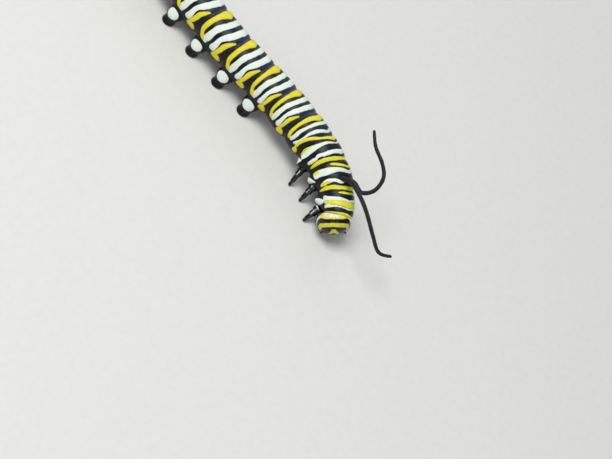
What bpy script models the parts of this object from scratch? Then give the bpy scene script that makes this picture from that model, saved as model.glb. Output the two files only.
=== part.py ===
"""Monarch butterfly larva, fifth instar, crawling with its head turned to its right and bent down.

The head points towards -Y, the rear towards +Y and the larva's right side towards -X. The feet stand on
z = 0. The body is a row of segments along a bent axis, each one closed solid, with a thin gap at each fold.
"""

import math

import bmesh
import bpy
from mathutils import Matrix, Vector

MM = 0.001
GAP = 0.3 * MM

# Place of the body's front plane, set so that the whole larva's box is centred on the origin
FRONT_X = -2.58 * MM
FRONT_Y = -16.15 * MM

# Each segment: name, length, half width and axis height in mm, then yaw, roll and nod in degrees
NAME, LENGTH, HALF_WIDTH, HEIGHT, YAW, ROLL, NOD = range(7)
SEGMENTS = (
    ("thorax_1", 2.60, 1.72, 2.66, 36.0, 4.0, 14.0),
    ("thorax_2", 2.70, 2.02, 3.12, 22.0, -6.0, 5.0),
    ("thorax_3", 2.45, 2.14, 3.32, 12.0, -3.0, 0.0),
    ("abdomen_1", 2.75, 2.20, 3.26, 7.0, 0.0, 0.0),
    ("abdomen_2", 3.05, 2.22, 3.12, 3.0, 0.0, 0.0),
    ("abdomen_3", 3.60, 2.18, 3.08, -4.0, 0.0, 0.0),
    ("abdomen_4", 3.95, 2.18, 3.02, -4.0, 0.0, 0.0),
    ("abdomen_5", 3.95, 2.14, 3.00, 2.0, 0.0, 0.0),
    ("abdomen_6", 3.90, 2.11, 2.98, 5.0, 0.0, 0.0),
    ("abdomen_7", 3.70, 2.06, 2.95, 6.0, 0.0, 0.0),
    ("abdomen_8", 3.10, 1.95, 2.86, 5.0, 0.0, 0.0),
    ("abdomen_9", 1.90, 1.70, 2.66, 3.0, 0.0, 0.0),
    ("abdomen_10", 2.30, 1.38, 2.36, 2.0, 0.0, 0.0),
)
LAST = len(SEGMENTS) - 1
BODY_LENGTH = sum(row[LENGTH] for row in SEGMENTS)
AXIS_STEP = 0.05
TANGENT_REACH = 0.2

# Girth of a segment from its front to its rear, as shares of its length and of its half width
RING_PROFILE = (
    (0.00, 0.900), (0.05, 0.945), (0.14, 0.985), (0.26, 1.000), (0.32, 0.975), (0.38, 1.000), (0.53, 1.000),
    (0.59, 0.975), (0.65, 1.000), (0.82, 1.000), (0.90, 0.985), (0.96, 0.940), (1.00, 0.900),
)
LAST_PROFILE = (
    (0.00, 0.920), (0.08, 0.970), (0.25, 1.000), (0.45, 0.985), (0.62, 0.900), (0.76, 0.770), (0.87, 0.590),
    (0.95, 0.390), (1.00, 0.200),
)
RING_SIDES = 22
BACK_RATIO = 0.98
BELLY_RATIO = 0.94

# Lobe over each true leg, then the low ridge along each side of the abdomen: height in mm, angle from the
# back and spread in degrees, and the middle and reach of the swelling as shares of the segment
LEG_LOBE_HEIGHTS = (0.40, 0.50, 0.66)
LEG_LOBE = (116.0, 20.0, 0.60, 0.24)
SIDE_RIDGE_HEIGHT = 0.14
SIDE_RIDGE = (118.0, 20.0, 0.45, 0.36)

# Head capsule
HEAD_HALF_WIDTH = 1.70
HEAD_HALF_HEIGHT = 1.55
HEAD_HALF_DEPTH = 1.38
HEAD_FORWARD = 0.52
HEAD_DROP = 0.05
HEAD_SIDE = 0.28
HEAD_TURN = 14.0
HEAD_NOD = 8.0
HEAD_ROLL = 18.0
HEAD_SEGMENTS = 26
HEAD_RINGS = 18
CHEEK_SWELL = 0.05
CROWN_GROOVE = 0.05
CHEEK_SIDE = 0.75
CHEEK_DROP = 0.25
CHEEK_WIDTH = 0.30
CHEEK_HEIGHT = 0.45
GROOVE_WIDTH = 0.16
STEMMA_RADIUS = 0.13
STEMMA_SEAT = 0.03
STEMMA_COUNT = 6
STEMMA_ARC_HEIGHT = 0.2310
STEMMA_ARC_DEPTH = 0.3150
STEMMA_ARC_START = -70.0
STEMMA_ARC_SPAN = 150.0
STEMMA_MIDDLE = (0.78, -0.20, 0.52)

# Prolegs: name, segment and place along it; then each ring as side offset, height and radius in mm
PROLEGS = (("proleg_3", 5, 0.53), ("proleg_4", 6, 0.54), ("proleg_5", 7, 0.54), ("proleg_6", 8, 0.55))
PROLEG_RINGS = (
    (1.15, 2.10, 0.94), (1.45, 1.55, 0.93), (1.72, 1.05, 0.81), (1.90, 0.62, 0.64), (1.98, 0.36, 0.66),
    (2.02, 0.14, 0.68), (2.02, 0.00, 0.60),
)
PROLEG_SPLAY = 0.06
PROLEG_LONG = 1.06
PROLEG_SIDES = 14
ANAL_SEGMENT = 12
ANAL_PLACE = 0.52
ANAL_RINGS = (
    (0.55, 1.90, 0.62), (0.74, 1.35, 0.64), (0.88, 0.85, 0.58), (0.96, 0.45, 0.50), (1.00, 0.16, 0.54),
    (1.00, 0.00, 0.47),
)

# True legs: name, segment, place along it, side reach and forward reach of the claw, in mm
LEGS = (("leg_1", 0, 0.55, 2.60, 0.95), ("leg_2", 1, 0.60, 2.50, 0.75), ("leg_3", 2, 0.60, 2.90, 0.95))
LEG_ROOT_SIDE = 1.10
LEG_ROOT_DROP = 1.05
LEG_STATIONS = (
    (0.00, 0.60, 1.00), (0.30, 0.55, 0.78), (0.36, 0.45, 0.73), (0.58, 0.40, 0.55), (0.64, 0.32, 0.48),
    (0.82, 0.27, 0.25), (0.90, 0.20, 0.13), (1.00, 0.13, 0.00),
)
LEG_SIDES = 8

# Filaments: rings along a smooth path whose points are side, forward and up from the root, in mm
FILAMENT_SIDES = 8
FILAMENT_RINGS = 18
FRONT_FILAMENT_PLACE = 0.36
FRONT_FILAMENT_ANGLE = 19.0
FRONT_FILAMENT_ROOT = 0.52
FRONT_RIGHT_PATH = (
    (-0.05, -0.15, -0.60), (0.35, 0.80, 0.50), (0.50, 2.50, 0.87), (0.70, 4.60, 0.70), (1.08, 6.90, -0.12),
    (1.45, 8.45, -0.62), (2.86, 8.96, -0.63),
)
FRONT_LEFT_PATH = (
    (0.00, -0.10, -0.60), (-0.05, 0.95, 0.25), (0.30, 2.05, 0.28), (1.60, 2.10, 0.78), (2.75, 1.05, 1.40),
    (2.95, -0.35, 1.82), (2.72, -2.20, 2.12), (3.23, -4.06, 2.28),
)
FILAMENT_MIDDLE = 0.25
FILAMENT_TIP = 0.15
FILAMENT_CONE = 0.10
FILAMENT_TAPER_START = 0.85
PATH_STEP = 0.01
REAR_FILAMENT_SEGMENT = 10
REAR_FILAMENT_PLACE = 0.42
REAR_FILAMENT_ANGLE = 24.0
REAR_FILAMENT_ROOT = 0.36
REAR_PATH = (
    (0.00, 0.10, -0.60), (0.10, -0.25, 0.45), (0.40, -1.20, 1.20), (0.85, -2.40, 1.70), (1.30, -3.70, 1.95),
)

# Mouthparts and antennae, placed on the head by side, up and forward shares, with sizes in mm
ANTENNA_PLACE = (0.52, -0.66, 0.66)
ANTENNA_LENGTH = 0.66
ANTENNA_ROOT = 0.26
ANTENNA_TIP = 0.12
ANTENNA_OUT = (0.60, 0.15, 0.60)
MANDIBLE_PLACE = (0.20, -0.93, 0.42)
MANDIBLE_LENGTH = 0.62
MANDIBLE_ROOT = 0.30
MANDIBLE_TIP = 0.17
MANDIBLE_OUT = (-0.25, -1.00, 0.10)
LABRUM_PLACE = (0.0, -0.72, 0.78)
LABRUM_HALF = (0.52, 0.20, 0.20)
LABIUM_PLACE = (0.0, -1.00, -0.10)
LABIUM_LENGTH = 0.60
LABIUM_ROOT = 0.42
LABIUM_TIP = 0.25
LABIUM_OUT = (0.0, -1.00, 0.35)
PEG_SIDES = 10
PEG_RINGS = 4
LABRUM_SIDES = 14
LABRUM_RINGS = 8
SHARP_ANGLE = 50.0

COLOURS = {
    "head": (0.012, 0.012, 0.014, 0.22),
    "thorax": (0.70, 0.64, 0.10, 0.55),
    "abdomen": (0.66, 0.70, 0.62, 0.55),
    "proleg": (0.015, 0.015, 0.018, 0.40),
    "leg": (0.010, 0.010, 0.012, 0.30),
    "filament": (0.012, 0.013, 0.016, 0.60),
    "mouth": (0.030, 0.024, 0.018, 0.35),
}


def clear_scene():
    for item in list(bpy.data.objects):
        bpy.data.objects.remove(item, do_unlink=True)


def material(kind):
    """The Principled material of a kind of part."""
    red, green, blue, rough = COLOURS[kind]
    made = bpy.data.materials.get(kind) or bpy.data.materials.new(kind)
    made.use_nodes = True
    shader = made.node_tree.nodes["Principled BSDF"]
    shader.inputs["Base Color"].default_value = (red, green, blue, 1.0)
    shader.inputs["Roughness"].default_value = rough
    shader.inputs["Metallic"].default_value = 0.0
    return made


def knots(column):
    """Arc position and value at the middle of each segment."""
    pairs = []
    start = 0.0
    for row in SEGMENTS:
        pairs.append((start + row[LENGTH] / 2, row[column]))
        start += row[LENGTH]
    return pairs


def smooth_value(pairs, s):
    """Cubic curve through the pairs, running on straight past both ends."""
    last = len(pairs) - 1
    slopes = []
    for i in range(len(pairs)):
        before, after = pairs[max(i - 1, 0)], pairs[min(i + 1, last)]
        slopes.append((after[1] - before[1]) / (after[0] - before[0]))
    if s <= pairs[0][0]:
        return pairs[0][1] + slopes[0] * (s - pairs[0][0])
    if s >= pairs[last][0]:
        return pairs[last][1] + slopes[last] * (s - pairs[last][0])
    i = max(k for k in range(last) if pairs[k][0] <= s)
    span = pairs[i + 1][0] - pairs[i][0]
    t = (s - pairs[i][0]) / span
    low = pairs[i][1] * (1 + 2 * t) * (1 - t) ** 2 + slopes[i] * span * t * (1 - t) ** 2
    high = pairs[i + 1][1] * t * t * (3 - 2 * t) + slopes[i + 1] * span * t * t * (t - 1)
    return low + high


COLUMN_KNOTS = {column: knots(column) for column in (HALF_WIDTH, HEIGHT, YAW, ROLL, NOD)}


def along(column, s):
    return smooth_value(COLUMN_KNOTS[column], s)


def heading(s):
    """Unit vector towards the head, level with the floor, at arc position s."""
    yaw = math.radians(along(YAW, s))
    return Vector((-math.sin(yaw), -math.cos(yaw), 0.0))


def walk_axis():
    """Points of the axis seen from above, one for each step of arc, from the collar to the rear."""
    point = Vector((FRONT_X, FRONT_Y, 0.0)) / MM
    points = [point.copy()]
    for i in range(int(BODY_LENGTH / AXIS_STEP) + 2):
        point = point - heading((i + 0.5) * AXIS_STEP) * AXIS_STEP
        points.append(point.copy())
    return points


AXIS_POINTS = walk_axis()


def axis_point(s):
    place = min(max(s / AXIS_STEP, 0.0), len(AXIS_POINTS) - 1.001)
    i = int(place)
    flat = AXIS_POINTS[i].lerp(AXIS_POINTS[i + 1], place - i)
    if s < 0:
        flat = AXIS_POINTS[0] - heading(0.0) * s
    return Vector((flat.x, flat.y, along(HEIGHT, s)))


def frame_at(s):
    """Centre of the body, and its right, up and forward directions, at arc position s, in mm."""
    forward = (axis_point(s - TANGENT_REACH) - axis_point(s + TANGENT_REACH)).normalized()
    right = forward.cross(Vector((0, 0, 1))).normalized()
    up = right.cross(forward)
    nod = Matrix.Rotation(math.radians(-along(NOD, s)), 3, right)
    forward = nod @ forward
    turn = Matrix.Rotation(math.radians(along(ROLL, s)), 3, forward)
    return axis_point(s), turn @ right, turn @ nod @ up, forward


def segment_start(index):
    return sum(row[LENGTH] for row in SEGMENTS[:index])


def place_on(index, share):
    return segment_start(index) + share * SEGMENTS[index][LENGTH]


def profile_at(profile, share):
    for (a, low), (b, high) in zip(profile, profile[1:]):
        if share <= b:
            return low + (high - low) * (share - a) / (b - a)
    return profile[-1][1]


def side_swelling(index, share, angle):
    """Height of the lobe over a true leg, or of the abdomen's side ridge, at an angle from the back."""
    legged = index < len(LEG_LOBE_HEIGHTS)
    height = LEG_LOBE_HEIGHTS[index] if legged else SIDE_RIDGE_HEIGHT
    middle_angle, spread, middle, reach = LEG_LOBE if legged else SIDE_RIDGE
    side = (abs(math.degrees(angle)) - middle_angle) / spread
    run = (share - middle) / reach
    return height * math.exp(-side * side - run * run)


def body_ring(index, share, margin):
    """Points round the body at a share of a segment's length, grown by a margin, in mm."""
    s = place_on(index, share)
    centre, right, up, _ = frame_at(s)
    profile = LAST_PROFILE if index == LAST else RING_PROFILE
    half = along(HALF_WIDTH, s) * profile_at(profile, share)
    points = []
    for k in range(RING_SIDES):
        angle = 2 * math.pi * k / RING_SIDES
        angle = angle - 2 * math.pi if angle > math.pi else angle
        radius = half + side_swelling(index, share, angle) + margin
        ratio = BACK_RATIO if math.cos(angle) > 0 else BELLY_RATIO
        points.append(centre + right * radius * math.sin(angle) + up * radius * math.cos(angle) * ratio)
    return points


def point_outwards(shape):
    """Turns all faces of a closed shape outwards."""
    bmesh.ops.recalc_face_normals(shape, faces=shape.faces)
    if shape.calc_volume(signed=True) < 0:
        bmesh.ops.reverse_faces(shape, faces=shape.faces)


def add_object(name, mesh, kind):
    made = bpy.data.objects.new(name, mesh)
    larva.objects.link(made)
    mesh.materials.clear()
    mesh.materials.append(material(kind))
    mesh.shade_smooth()
    mesh.set_sharp_from_angle(angle=math.radians(SHARP_ANGLE))
    return made


def loft_mesh(name, rings):
    """Closed skin over rings of points in mm, with a flat cap at both ends."""
    shape = bmesh.new()
    rows = [[shape.verts.new(point * MM) for point in ring] for ring in rings]
    for row, following in zip(rows, rows[1:]):
        for k in range(len(row)):
            after = (k + 1) % len(row)
            shape.faces.new((row[k], row[after], following[after], following[k]))
    shape.faces.new(rows[0])
    shape.faces.new(rows[-1])
    point_outwards(shape)
    mesh = bpy.data.meshes.new(name)
    shape.to_mesh(mesh)
    shape.free()
    return mesh


def cutter(name, mesh):
    made = bpy.data.objects.new(name, mesh)
    cutters.objects.link(made)
    made.hide_render = True
    made.display_type = "WIRE"
    return made


def cut_by(target, tool):
    """Takes the tool's volume off the target, for good."""
    modifier = target.modifiers.new("clear_of_" + tool.name, "BOOLEAN")
    modifier.operation = "DIFFERENCE"
    modifier.solver = "EXACT"
    modifier.object = tool
    apply_modifiers(target)
    keep_largest(target)


def apply_modifiers(target):
    graph = bpy.context.evaluated_depsgraph_get()
    mesh = bpy.data.meshes.new_from_object(target.evaluated_get(graph))
    target.modifiers.clear()
    target.data = mesh


def shells(shape):
    """Groups of faces that hang together."""
    left = set(shape.faces)
    groups = []
    while left:
        stack = [left.pop()]
        group = []
        while stack:
            face = stack.pop()
            group.append(face)
            for edge in face.edges:
                for near in edge.link_faces:
                    if near in left:
                        left.remove(near)
                        stack.append(near)
        groups.append(group)
    return groups


def shell_volume(group):
    total = 0.0
    for face in group:
        first = face.verts[0].co
        for a, b in zip(face.verts[1:], face.verts[2:]):
            total += first.dot(a.co.cross(b.co)) / 6
    return total


def keep_largest(target):
    shape = bmesh.new()
    shape.from_mesh(target.data)
    groups = sorted(shells(shape), key=shell_volume)
    for group in groups[:-1]:
        bmesh.ops.delete(shape, geom=group, context="FACES")
    loose = [vert for vert in shape.verts if not vert.link_faces]
    bmesh.ops.delete(shape, geom=loose, context="VERTS")
    shape.to_mesh(target.data)
    shape.free()


def fuse(target, extras):
    """Joins closed extra objects to the target by one union."""
    group = bpy.data.collections.new(target.name + "_pieces")
    for extra in extras:
        group.objects.link(extra)
    bpy.context.scene.collection.children.link(group)
    modifier = target.modifiers.new("fused", "BOOLEAN")
    modifier.operation = "UNION"
    modifier.solver = "EXACT"
    modifier.operand_type = "COLLECTION"
    modifier.collection = group
    apply_modifiers(target)
    for extra in extras:
        bpy.data.objects.remove(extra, do_unlink=True)
    bpy.data.collections.remove(group)
    keep_largest(target)


def body_segment(index):
    """One body segment, shortened at both folds by half the gap."""
    name, length = SEGMENTS[index][NAME], SEGMENTS[index][LENGTH]
    profile = LAST_PROFILE if index == LAST else RING_PROFILE
    trim = GAP / MM / 2 / length
    shares = [min(max(share, trim), 1 - trim) for share, _ in profile]
    rings = [body_ring(index, share, 0.0) for share in shares]
    return add_object(name, loft_mesh(name, rings), name.split("_")[0])


def body_cutter():
    """The whole body grown by the gap, without its folds' gaps."""
    rings = []
    for index in range(len(SEGMENTS)):
        profile = LAST_PROFILE if index == LAST else RING_PROFILE
        for share, _ in profile[:-1]:
            rings.append(body_ring(index, share, GAP / MM))
    rings.append(body_ring(LAST, 1.0, GAP / MM))
    return cutter("body_clearance", loft_mesh("body_clearance", rings))


def head_frame():
    """Centre of the head capsule, and its right, up and forward directions."""
    centre, right, up, forward = frame_at(0.0)
    nod = Matrix.Rotation(math.radians(-HEAD_NOD), 3, right)
    roll = Matrix.Rotation(math.radians(HEAD_ROLL), 3, forward)
    pose = Matrix.Rotation(math.radians(HEAD_TURN), 3, up) @ nod @ roll
    centre = centre + forward * HEAD_FORWARD + right * HEAD_SIDE - up * HEAD_DROP
    return centre, pose @ right, pose @ up, pose @ forward


def head_point(side, up_share, forward_share, margin=0.0):
    """Point on the capsule's ellipsoid in a direction given by shares, in mm."""
    centre, right, up, forward = head_frame()
    direction = Vector((side, up_share, forward_share)).normalized()
    half = Vector((HEAD_HALF_WIDTH + margin, HEAD_HALF_HEIGHT + margin, HEAD_HALF_DEPTH + margin))
    return centre + right * direction.x * half.x + up * direction.y * half.y + forward * direction.z * half.z


def capsule_mesh(name, margin):
    """Head capsule: a rounded shell with full cheeks and a shallow groove down the crown."""
    centre, right, up, forward = head_frame()
    shape = bmesh.new()
    bmesh.ops.create_uvsphere(shape, u_segments=HEAD_SEGMENTS, v_segments=HEAD_RINGS, radius=1.0)
    for vert in shape.verts:
        side, height, depth = vert.co.x, vert.co.z, -vert.co.y
        across = (abs(side) - CHEEK_SIDE) / CHEEK_WIDTH
        upright = (height + CHEEK_DROP) / CHEEK_HEIGHT
        cheek = CHEEK_SWELL * math.exp(-across * across - upright * upright)
        groove = CROWN_GROOVE * math.exp(-(side / GROOVE_WIDTH) ** 2) * max(height, 0.0)
        grow = 1.0 + cheek - groove
        place = centre + right * side * grow * (HEAD_HALF_WIDTH + margin)
        place = place + up * height * grow * (HEAD_HALF_HEIGHT + margin)
        vert.co = (place + forward * depth * grow * (HEAD_HALF_DEPTH + margin)) * MM
    point_outwards(shape)
    mesh = bpy.data.meshes.new(name)
    shape.to_mesh(mesh)
    shape.free()
    return mesh


def trim_at_collar(mesh):
    """Cuts the back of the capsule flat, a gap in front of the first segment."""
    centre, _, _, forward = frame_at(0.0)
    plane = (centre + forward * GAP / MM / 2) * MM
    shape = bmesh.new()
    shape.from_mesh(mesh)
    geometry = shape.verts[:] + shape.edges[:] + shape.faces[:]
    cut = bmesh.ops.bisect_plane(
        shape, geom=geometry, plane_co=plane, plane_no=-forward, clear_outer=True, dist=1e-7
    )
    rim = [item for item in cut["geom_cut"] if isinstance(item, bmesh.types.BMEdge)]
    bmesh.ops.contextual_create(shape, geom=rim)
    point_outwards(shape)
    shape.to_mesh(mesh)
    shape.free()


def stemma(side, number):
    """One of the six small eyes on a cheek, set in a half circle above the antenna."""
    angle = math.radians(STEMMA_ARC_START + STEMMA_ARC_SPAN * number / (STEMMA_COUNT - 1))
    across, middle_height, middle_depth = STEMMA_MIDDLE
    height = middle_height + STEMMA_ARC_HEIGHT * math.sin(angle)
    depth = middle_depth - STEMMA_ARC_DEPTH * math.cos(angle)
    centre = head_point(side * across, height, depth, -STEMMA_SEAT)
    shape = bmesh.new()
    bmesh.ops.create_icosphere(shape, subdivisions=1, radius=STEMMA_RADIUS * MM)
    bmesh.ops.translate(shape, verts=shape.verts, vec=centre * MM)
    mesh = bpy.data.meshes.new("stemma")
    shape.to_mesh(mesh)
    shape.free()
    return bpy.data.objects.new("stemma", mesh)


def head():
    mesh = capsule_mesh("head", 0.0)
    trim_at_collar(mesh)
    made = add_object("head", mesh, "head")
    eyes = [stemma(side, number) for side in (-1, 1) for number in range(STEMMA_COUNT)]
    fuse(made, eyes)
    return made


def circle_ring(centre, side_axis, long_axis, radius, long_ratio, sides):
    points = []
    for k in range(sides):
        angle = 2 * math.pi * k / sides
        across = side_axis * radius * math.cos(angle)
        along_body = long_axis * radius * long_ratio * math.sin(angle)
        points.append(centre + across + along_body)
    return points


def standing_frame(index, share):
    """The body frame at a place with its directions level with the floor."""
    centre, _, _, forward = frame_at(place_on(index, share))
    forward = Vector((forward.x, forward.y, 0)).normalized()
    right = forward.cross(Vector((0, 0, 1)))
    return centre, right, forward


def sole_ring_rows(index, share, side, stations, backward):
    """Level rings of a fleshy foot, from inside the body down to its flat sole."""
    centre, right, forward = standing_frame(index, share)
    rows = []
    top = stations[0][1]
    for offset, height, radius in stations:
        place = Vector((centre.x, centre.y, 0)) + right * side * offset
        place = place - forward * backward * (top - height) + Vector((0, 0, height))
        rows.append(circle_ring(place, right, forward, radius, PROLEG_LONG, PROLEG_SIDES))
    return rows


def proleg(name, index, share, side, stations, backward, clearance):
    rows = sole_ring_rows(index, share, side, stations, backward)
    made = add_object(name, loft_mesh(name, rows), "proleg")
    cut_by(made, clearance)
    return made


def leg(name, index, share, side, reach, advance, clearance):
    """A true leg: stout at its root, bent at each joint, with a narrow claw on the floor."""
    centre, right, forward = standing_frame(index, share)
    root = centre + right * side * LEG_ROOT_SIDE - Vector((0, 0, LEG_ROOT_DROP))
    foot = Vector((centre.x, centre.y, 0)) + right * side * reach + forward * advance
    rows = []
    for run, radius, height_share in LEG_STATIONS:
        place = root.lerp(foot, run)
        place.z = root.z * height_share
        rows.append(circle_ring(place, right, forward, radius, 1.0, LEG_SIDES))
    made = add_object(name, loft_mesh(name, rows), "leg")
    cut_by(made, clearance)
    return made


def path_point(points, t):
    """Point of a smooth curve through the points, t from 0 to 1."""
    place = t * (len(points) - 1)
    i = min(int(place), len(points) - 2)
    u = place - i
    before, start = points[max(i - 1, 0)], points[i]
    end, after = points[i + 1], points[min(i + 2, len(points) - 1)]
    return (
        start * 2 + (end - before) * u + (before * 2 - start * 5 + end * 4 - after) * u * u
        + (start * 3 - before - end * 3 + after) * u * u * u
    ) / 2


def filament_radius(root_radius, t):
    """Radius along a filament: a short cone at the root, then slender, with a blunt tip."""
    cone = root_radius * math.exp(-t / FILAMENT_CONE)
    taper = max(t - FILAMENT_TAPER_START, 0.0) / (1 - FILAMENT_TAPER_START)
    slender = FILAMENT_MIDDLE + (FILAMENT_TIP - FILAMENT_MIDDLE) * taper
    return max(cone, slender)


def filament(name, index, share, angle, path, root_radius, clearance):
    """A fleshy filament on a smooth path from its root, given by side, forward and up offsets."""
    s = place_on(index, share)
    centre, right, up, forward = frame_at(s)
    half = along(HALF_WIDTH, s)
    root = centre + right * half * math.sin(angle) + up * half * math.cos(angle)
    level_forward = Vector((forward.x, forward.y, 0)).normalized()
    left = -level_forward.cross(Vector((0, 0, 1)))
    points = [root + left * a + level_forward * b + Vector((0, 0, c)) for a, b, c in path]
    rows = []
    guide = right
    for k in range(FILAMENT_RINGS):
        t = k / (FILAMENT_RINGS - 1)
        ahead = path_point(points, min(t + PATH_STEP, 1.0)) - path_point(points, max(t - PATH_STEP, 0.0))
        ahead.normalize()
        guide = (guide - ahead * guide.dot(ahead)).normalized()
        across = ahead.cross(guide)
        rows.append(circle_ring(path_point(points, t), guide, across, filament_radius(root_radius, t), 1.0,
                                FILAMENT_SIDES))
    made = add_object(name, loft_mesh(name, rows), "filament")
    cut_by(made, clearance)
    return made


def mirrored_path(path):
    return tuple((-a, b, c) for a, b, c in path)


def head_peg(name, kind, place, direction, length, root, tip, clearance):
    """A short tapered piece that stands on the head."""
    base = head_point(*place, margin=-root)
    end = head_point(*place) + direction * length
    along_peg = (end - base).normalized()
    across = along_peg.cross(Vector((0, 0, 1))).normalized()
    other = along_peg.cross(across)
    rows = []
    for k in range(PEG_RINGS):
        t = k / (PEG_RINGS - 1)
        radius = root + (tip - root) * t
        rows.append(circle_ring(base.lerp(end, t), across, other, radius, 1.0, PEG_SIDES))
    made = add_object(name, loft_mesh(name, rows), kind)
    cut_by(made, clearance)
    return made


def labrum(clearance):
    """The upper lip: a rounded bar across the mouth."""
    _, right, up, forward = head_frame()
    place = head_point(*LABRUM_PLACE)
    shape = bmesh.new()
    bmesh.ops.create_uvsphere(shape, u_segments=LABRUM_SIDES, v_segments=LABRUM_RINGS, radius=1.0)
    half_side, half_up, half_out = LABRUM_HALF
    for vert in shape.verts:
        x, y, z = vert.co
        offset = right * x * half_side + up * z * (half_up + GAP / MM) + forward * y * (half_out + GAP / MM)
        vert.co = (place + offset) * MM
    point_outwards(shape)
    mesh = bpy.data.meshes.new("labrum")
    shape.to_mesh(mesh)
    shape.free()
    made = add_object("labrum", mesh, "mouth")
    cut_by(made, clearance)
    return made


def head_direction(shares, side):
    """Unit direction in the head's frame, from side, up and forward shares."""
    _, right, up, forward = head_frame()
    across, height, depth = shares
    return (right * across * side + up * height + forward * depth).normalized()


def mouthparts(clearance):
    labrum(clearance)
    for side, label in ((-1, "left"), (1, "right")):
        across, height, depth = ANTENNA_PLACE
        out = head_direction(ANTENNA_OUT, side)
        head_peg("antenna_" + label, "head", (side * across, height, depth), out, ANTENNA_LENGTH,
                 ANTENNA_ROOT, ANTENNA_TIP, clearance)
        across, height, depth = MANDIBLE_PLACE
        down = head_direction(MANDIBLE_OUT, side)
        head_peg("mandible_" + label, "mouth", (side * across, height, depth), down, MANDIBLE_LENGTH,
                 MANDIBLE_ROOT, MANDIBLE_TIP, clearance)
    head_peg("labium", "mouth", LABIUM_PLACE, head_direction(LABIUM_OUT, 1), LABIUM_LENGTH,
             LABIUM_ROOT, LABIUM_TIP, clearance)


def main():
    for index in range(len(SEGMENTS)):
        body_segment(index)
    clearance = body_cutter()
    head_clearance = cutter("head_clearance", capsule_mesh("head_clearance", GAP / MM))
    head()
    mouthparts(head_clearance)
    for side, label in ((1, "right"), (-1, "left")):
        for name, index, share in PROLEGS:
            proleg(name + "_" + label, index, share, side, PROLEG_RINGS, PROLEG_SPLAY, clearance)
        proleg("proleg_10_" + label, ANAL_SEGMENT, ANAL_PLACE, side, ANAL_RINGS, PROLEG_SPLAY, clearance)
        for name, index, share, reach, advance in LEGS:
            leg(name + "_" + label, index, share, side, reach, advance, clearance)
        path = REAR_PATH if side < 0 else mirrored_path(REAR_PATH)
        filament("filament_rear_" + label, REAR_FILAMENT_SEGMENT, REAR_FILAMENT_PLACE,
                 math.radians(side * REAR_FILAMENT_ANGLE), path, REAR_FILAMENT_ROOT, clearance)
    for side, label, path in ((1, "right", FRONT_RIGHT_PATH), (-1, "left", FRONT_LEFT_PATH)):
        filament("filament_front_" + label, 1, FRONT_FILAMENT_PLACE,
                 math.radians(side * FRONT_FILAMENT_ANGLE), path, FRONT_FILAMENT_ROOT, clearance)


clear_scene()
larva = bpy.data.collections.new("monarch_larva")
cutters = bpy.data.collections.new("cutters")
bpy.context.scene.collection.children.link(larva)
bpy.context.scene.collection.children.link(cutters)
main()
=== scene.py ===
"""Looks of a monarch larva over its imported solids: skin, head, legs, filaments and fine hairs."""

import math

import bmesh
import bpy
import numpy as np
from bpy.props import FloatProperty, FloatVectorProperty, IntProperty, PointerProperty
from mathutils import Matrix, Vector
from mathutils.kdtree import KDTree


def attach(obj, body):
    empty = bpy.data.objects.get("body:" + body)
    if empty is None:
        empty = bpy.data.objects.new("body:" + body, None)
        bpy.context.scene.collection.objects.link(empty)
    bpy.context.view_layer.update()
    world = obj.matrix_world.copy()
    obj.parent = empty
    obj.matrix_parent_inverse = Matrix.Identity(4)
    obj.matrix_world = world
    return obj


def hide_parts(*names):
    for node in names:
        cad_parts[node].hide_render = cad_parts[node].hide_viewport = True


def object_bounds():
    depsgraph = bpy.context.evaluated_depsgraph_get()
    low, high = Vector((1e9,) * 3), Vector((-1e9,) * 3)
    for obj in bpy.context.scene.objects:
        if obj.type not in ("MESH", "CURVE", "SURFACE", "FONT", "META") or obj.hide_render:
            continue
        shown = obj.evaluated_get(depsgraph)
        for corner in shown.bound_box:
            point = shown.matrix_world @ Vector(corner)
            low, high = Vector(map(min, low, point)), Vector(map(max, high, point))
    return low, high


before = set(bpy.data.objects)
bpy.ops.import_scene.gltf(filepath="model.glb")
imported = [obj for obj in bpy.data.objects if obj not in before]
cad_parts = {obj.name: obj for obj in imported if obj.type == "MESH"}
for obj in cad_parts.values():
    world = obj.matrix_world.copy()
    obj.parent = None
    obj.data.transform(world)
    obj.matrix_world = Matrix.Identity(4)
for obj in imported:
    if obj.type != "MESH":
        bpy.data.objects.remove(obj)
CAD_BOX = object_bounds()

bl_info = {
    "name": "Monarch larva",
    "version": (1, 0, 0),
    "blender": (4, 5, 0),
    "location": "3D View > Sidebar > Larva",
    "description": "Dresses the packed larva with its skin, head, legs, filaments and hairs",
    "category": "Add Mesh",
}

MM = 0.001
SIDES = ((1, "right"), (-1, "left"))
RGBA = {"data_type": "RGBA"}
SMOOTH = {"interpolation_type": "SMOOTHSTEP"}

# Length, half width, height of the axis, yaw, roll and nod of each segment, in mm and degrees
SEGMENTS = (
    (2.60, 1.72, 2.66, 36.0, 4.0, 14.0), (2.70, 2.02, 3.12, 22.0, -6.0, 5.0),
    (2.45, 2.14, 3.32, 12.0, -3.0, 0.0), (2.75, 2.20, 3.26, 7.0, 0.0, 0.0),
    (3.05, 2.22, 3.12, 3.0, 0.0, 0.0), (3.60, 2.18, 3.08, -4.0, 0.0, 0.0),
    (3.95, 2.18, 3.02, -4.0, 0.0, 0.0), (3.95, 2.14, 3.00, 2.0, 0.0, 0.0),
    (3.90, 2.11, 2.98, 5.0, 0.0, 0.0), (3.70, 2.06, 2.95, 6.0, 0.0, 0.0),
    (3.10, 1.95, 2.86, 5.0, 0.0, 0.0), (1.90, 1.70, 2.66, 3.0, 0.0, 0.0),
    (2.30, 1.38, 2.36, 2.0, 0.0, 0.0),
)
LENGTH, HALF_WIDTH, HEIGHT, YAW, ROLL, NOD = range(6)
STARTS = np.concatenate(([0.0], np.cumsum([row[LENGTH] for row in SEGMENTS])))
BODY_LENGTH = float(STARTS[-1])
FRONT = np.array((-2.58, -16.15))
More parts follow.
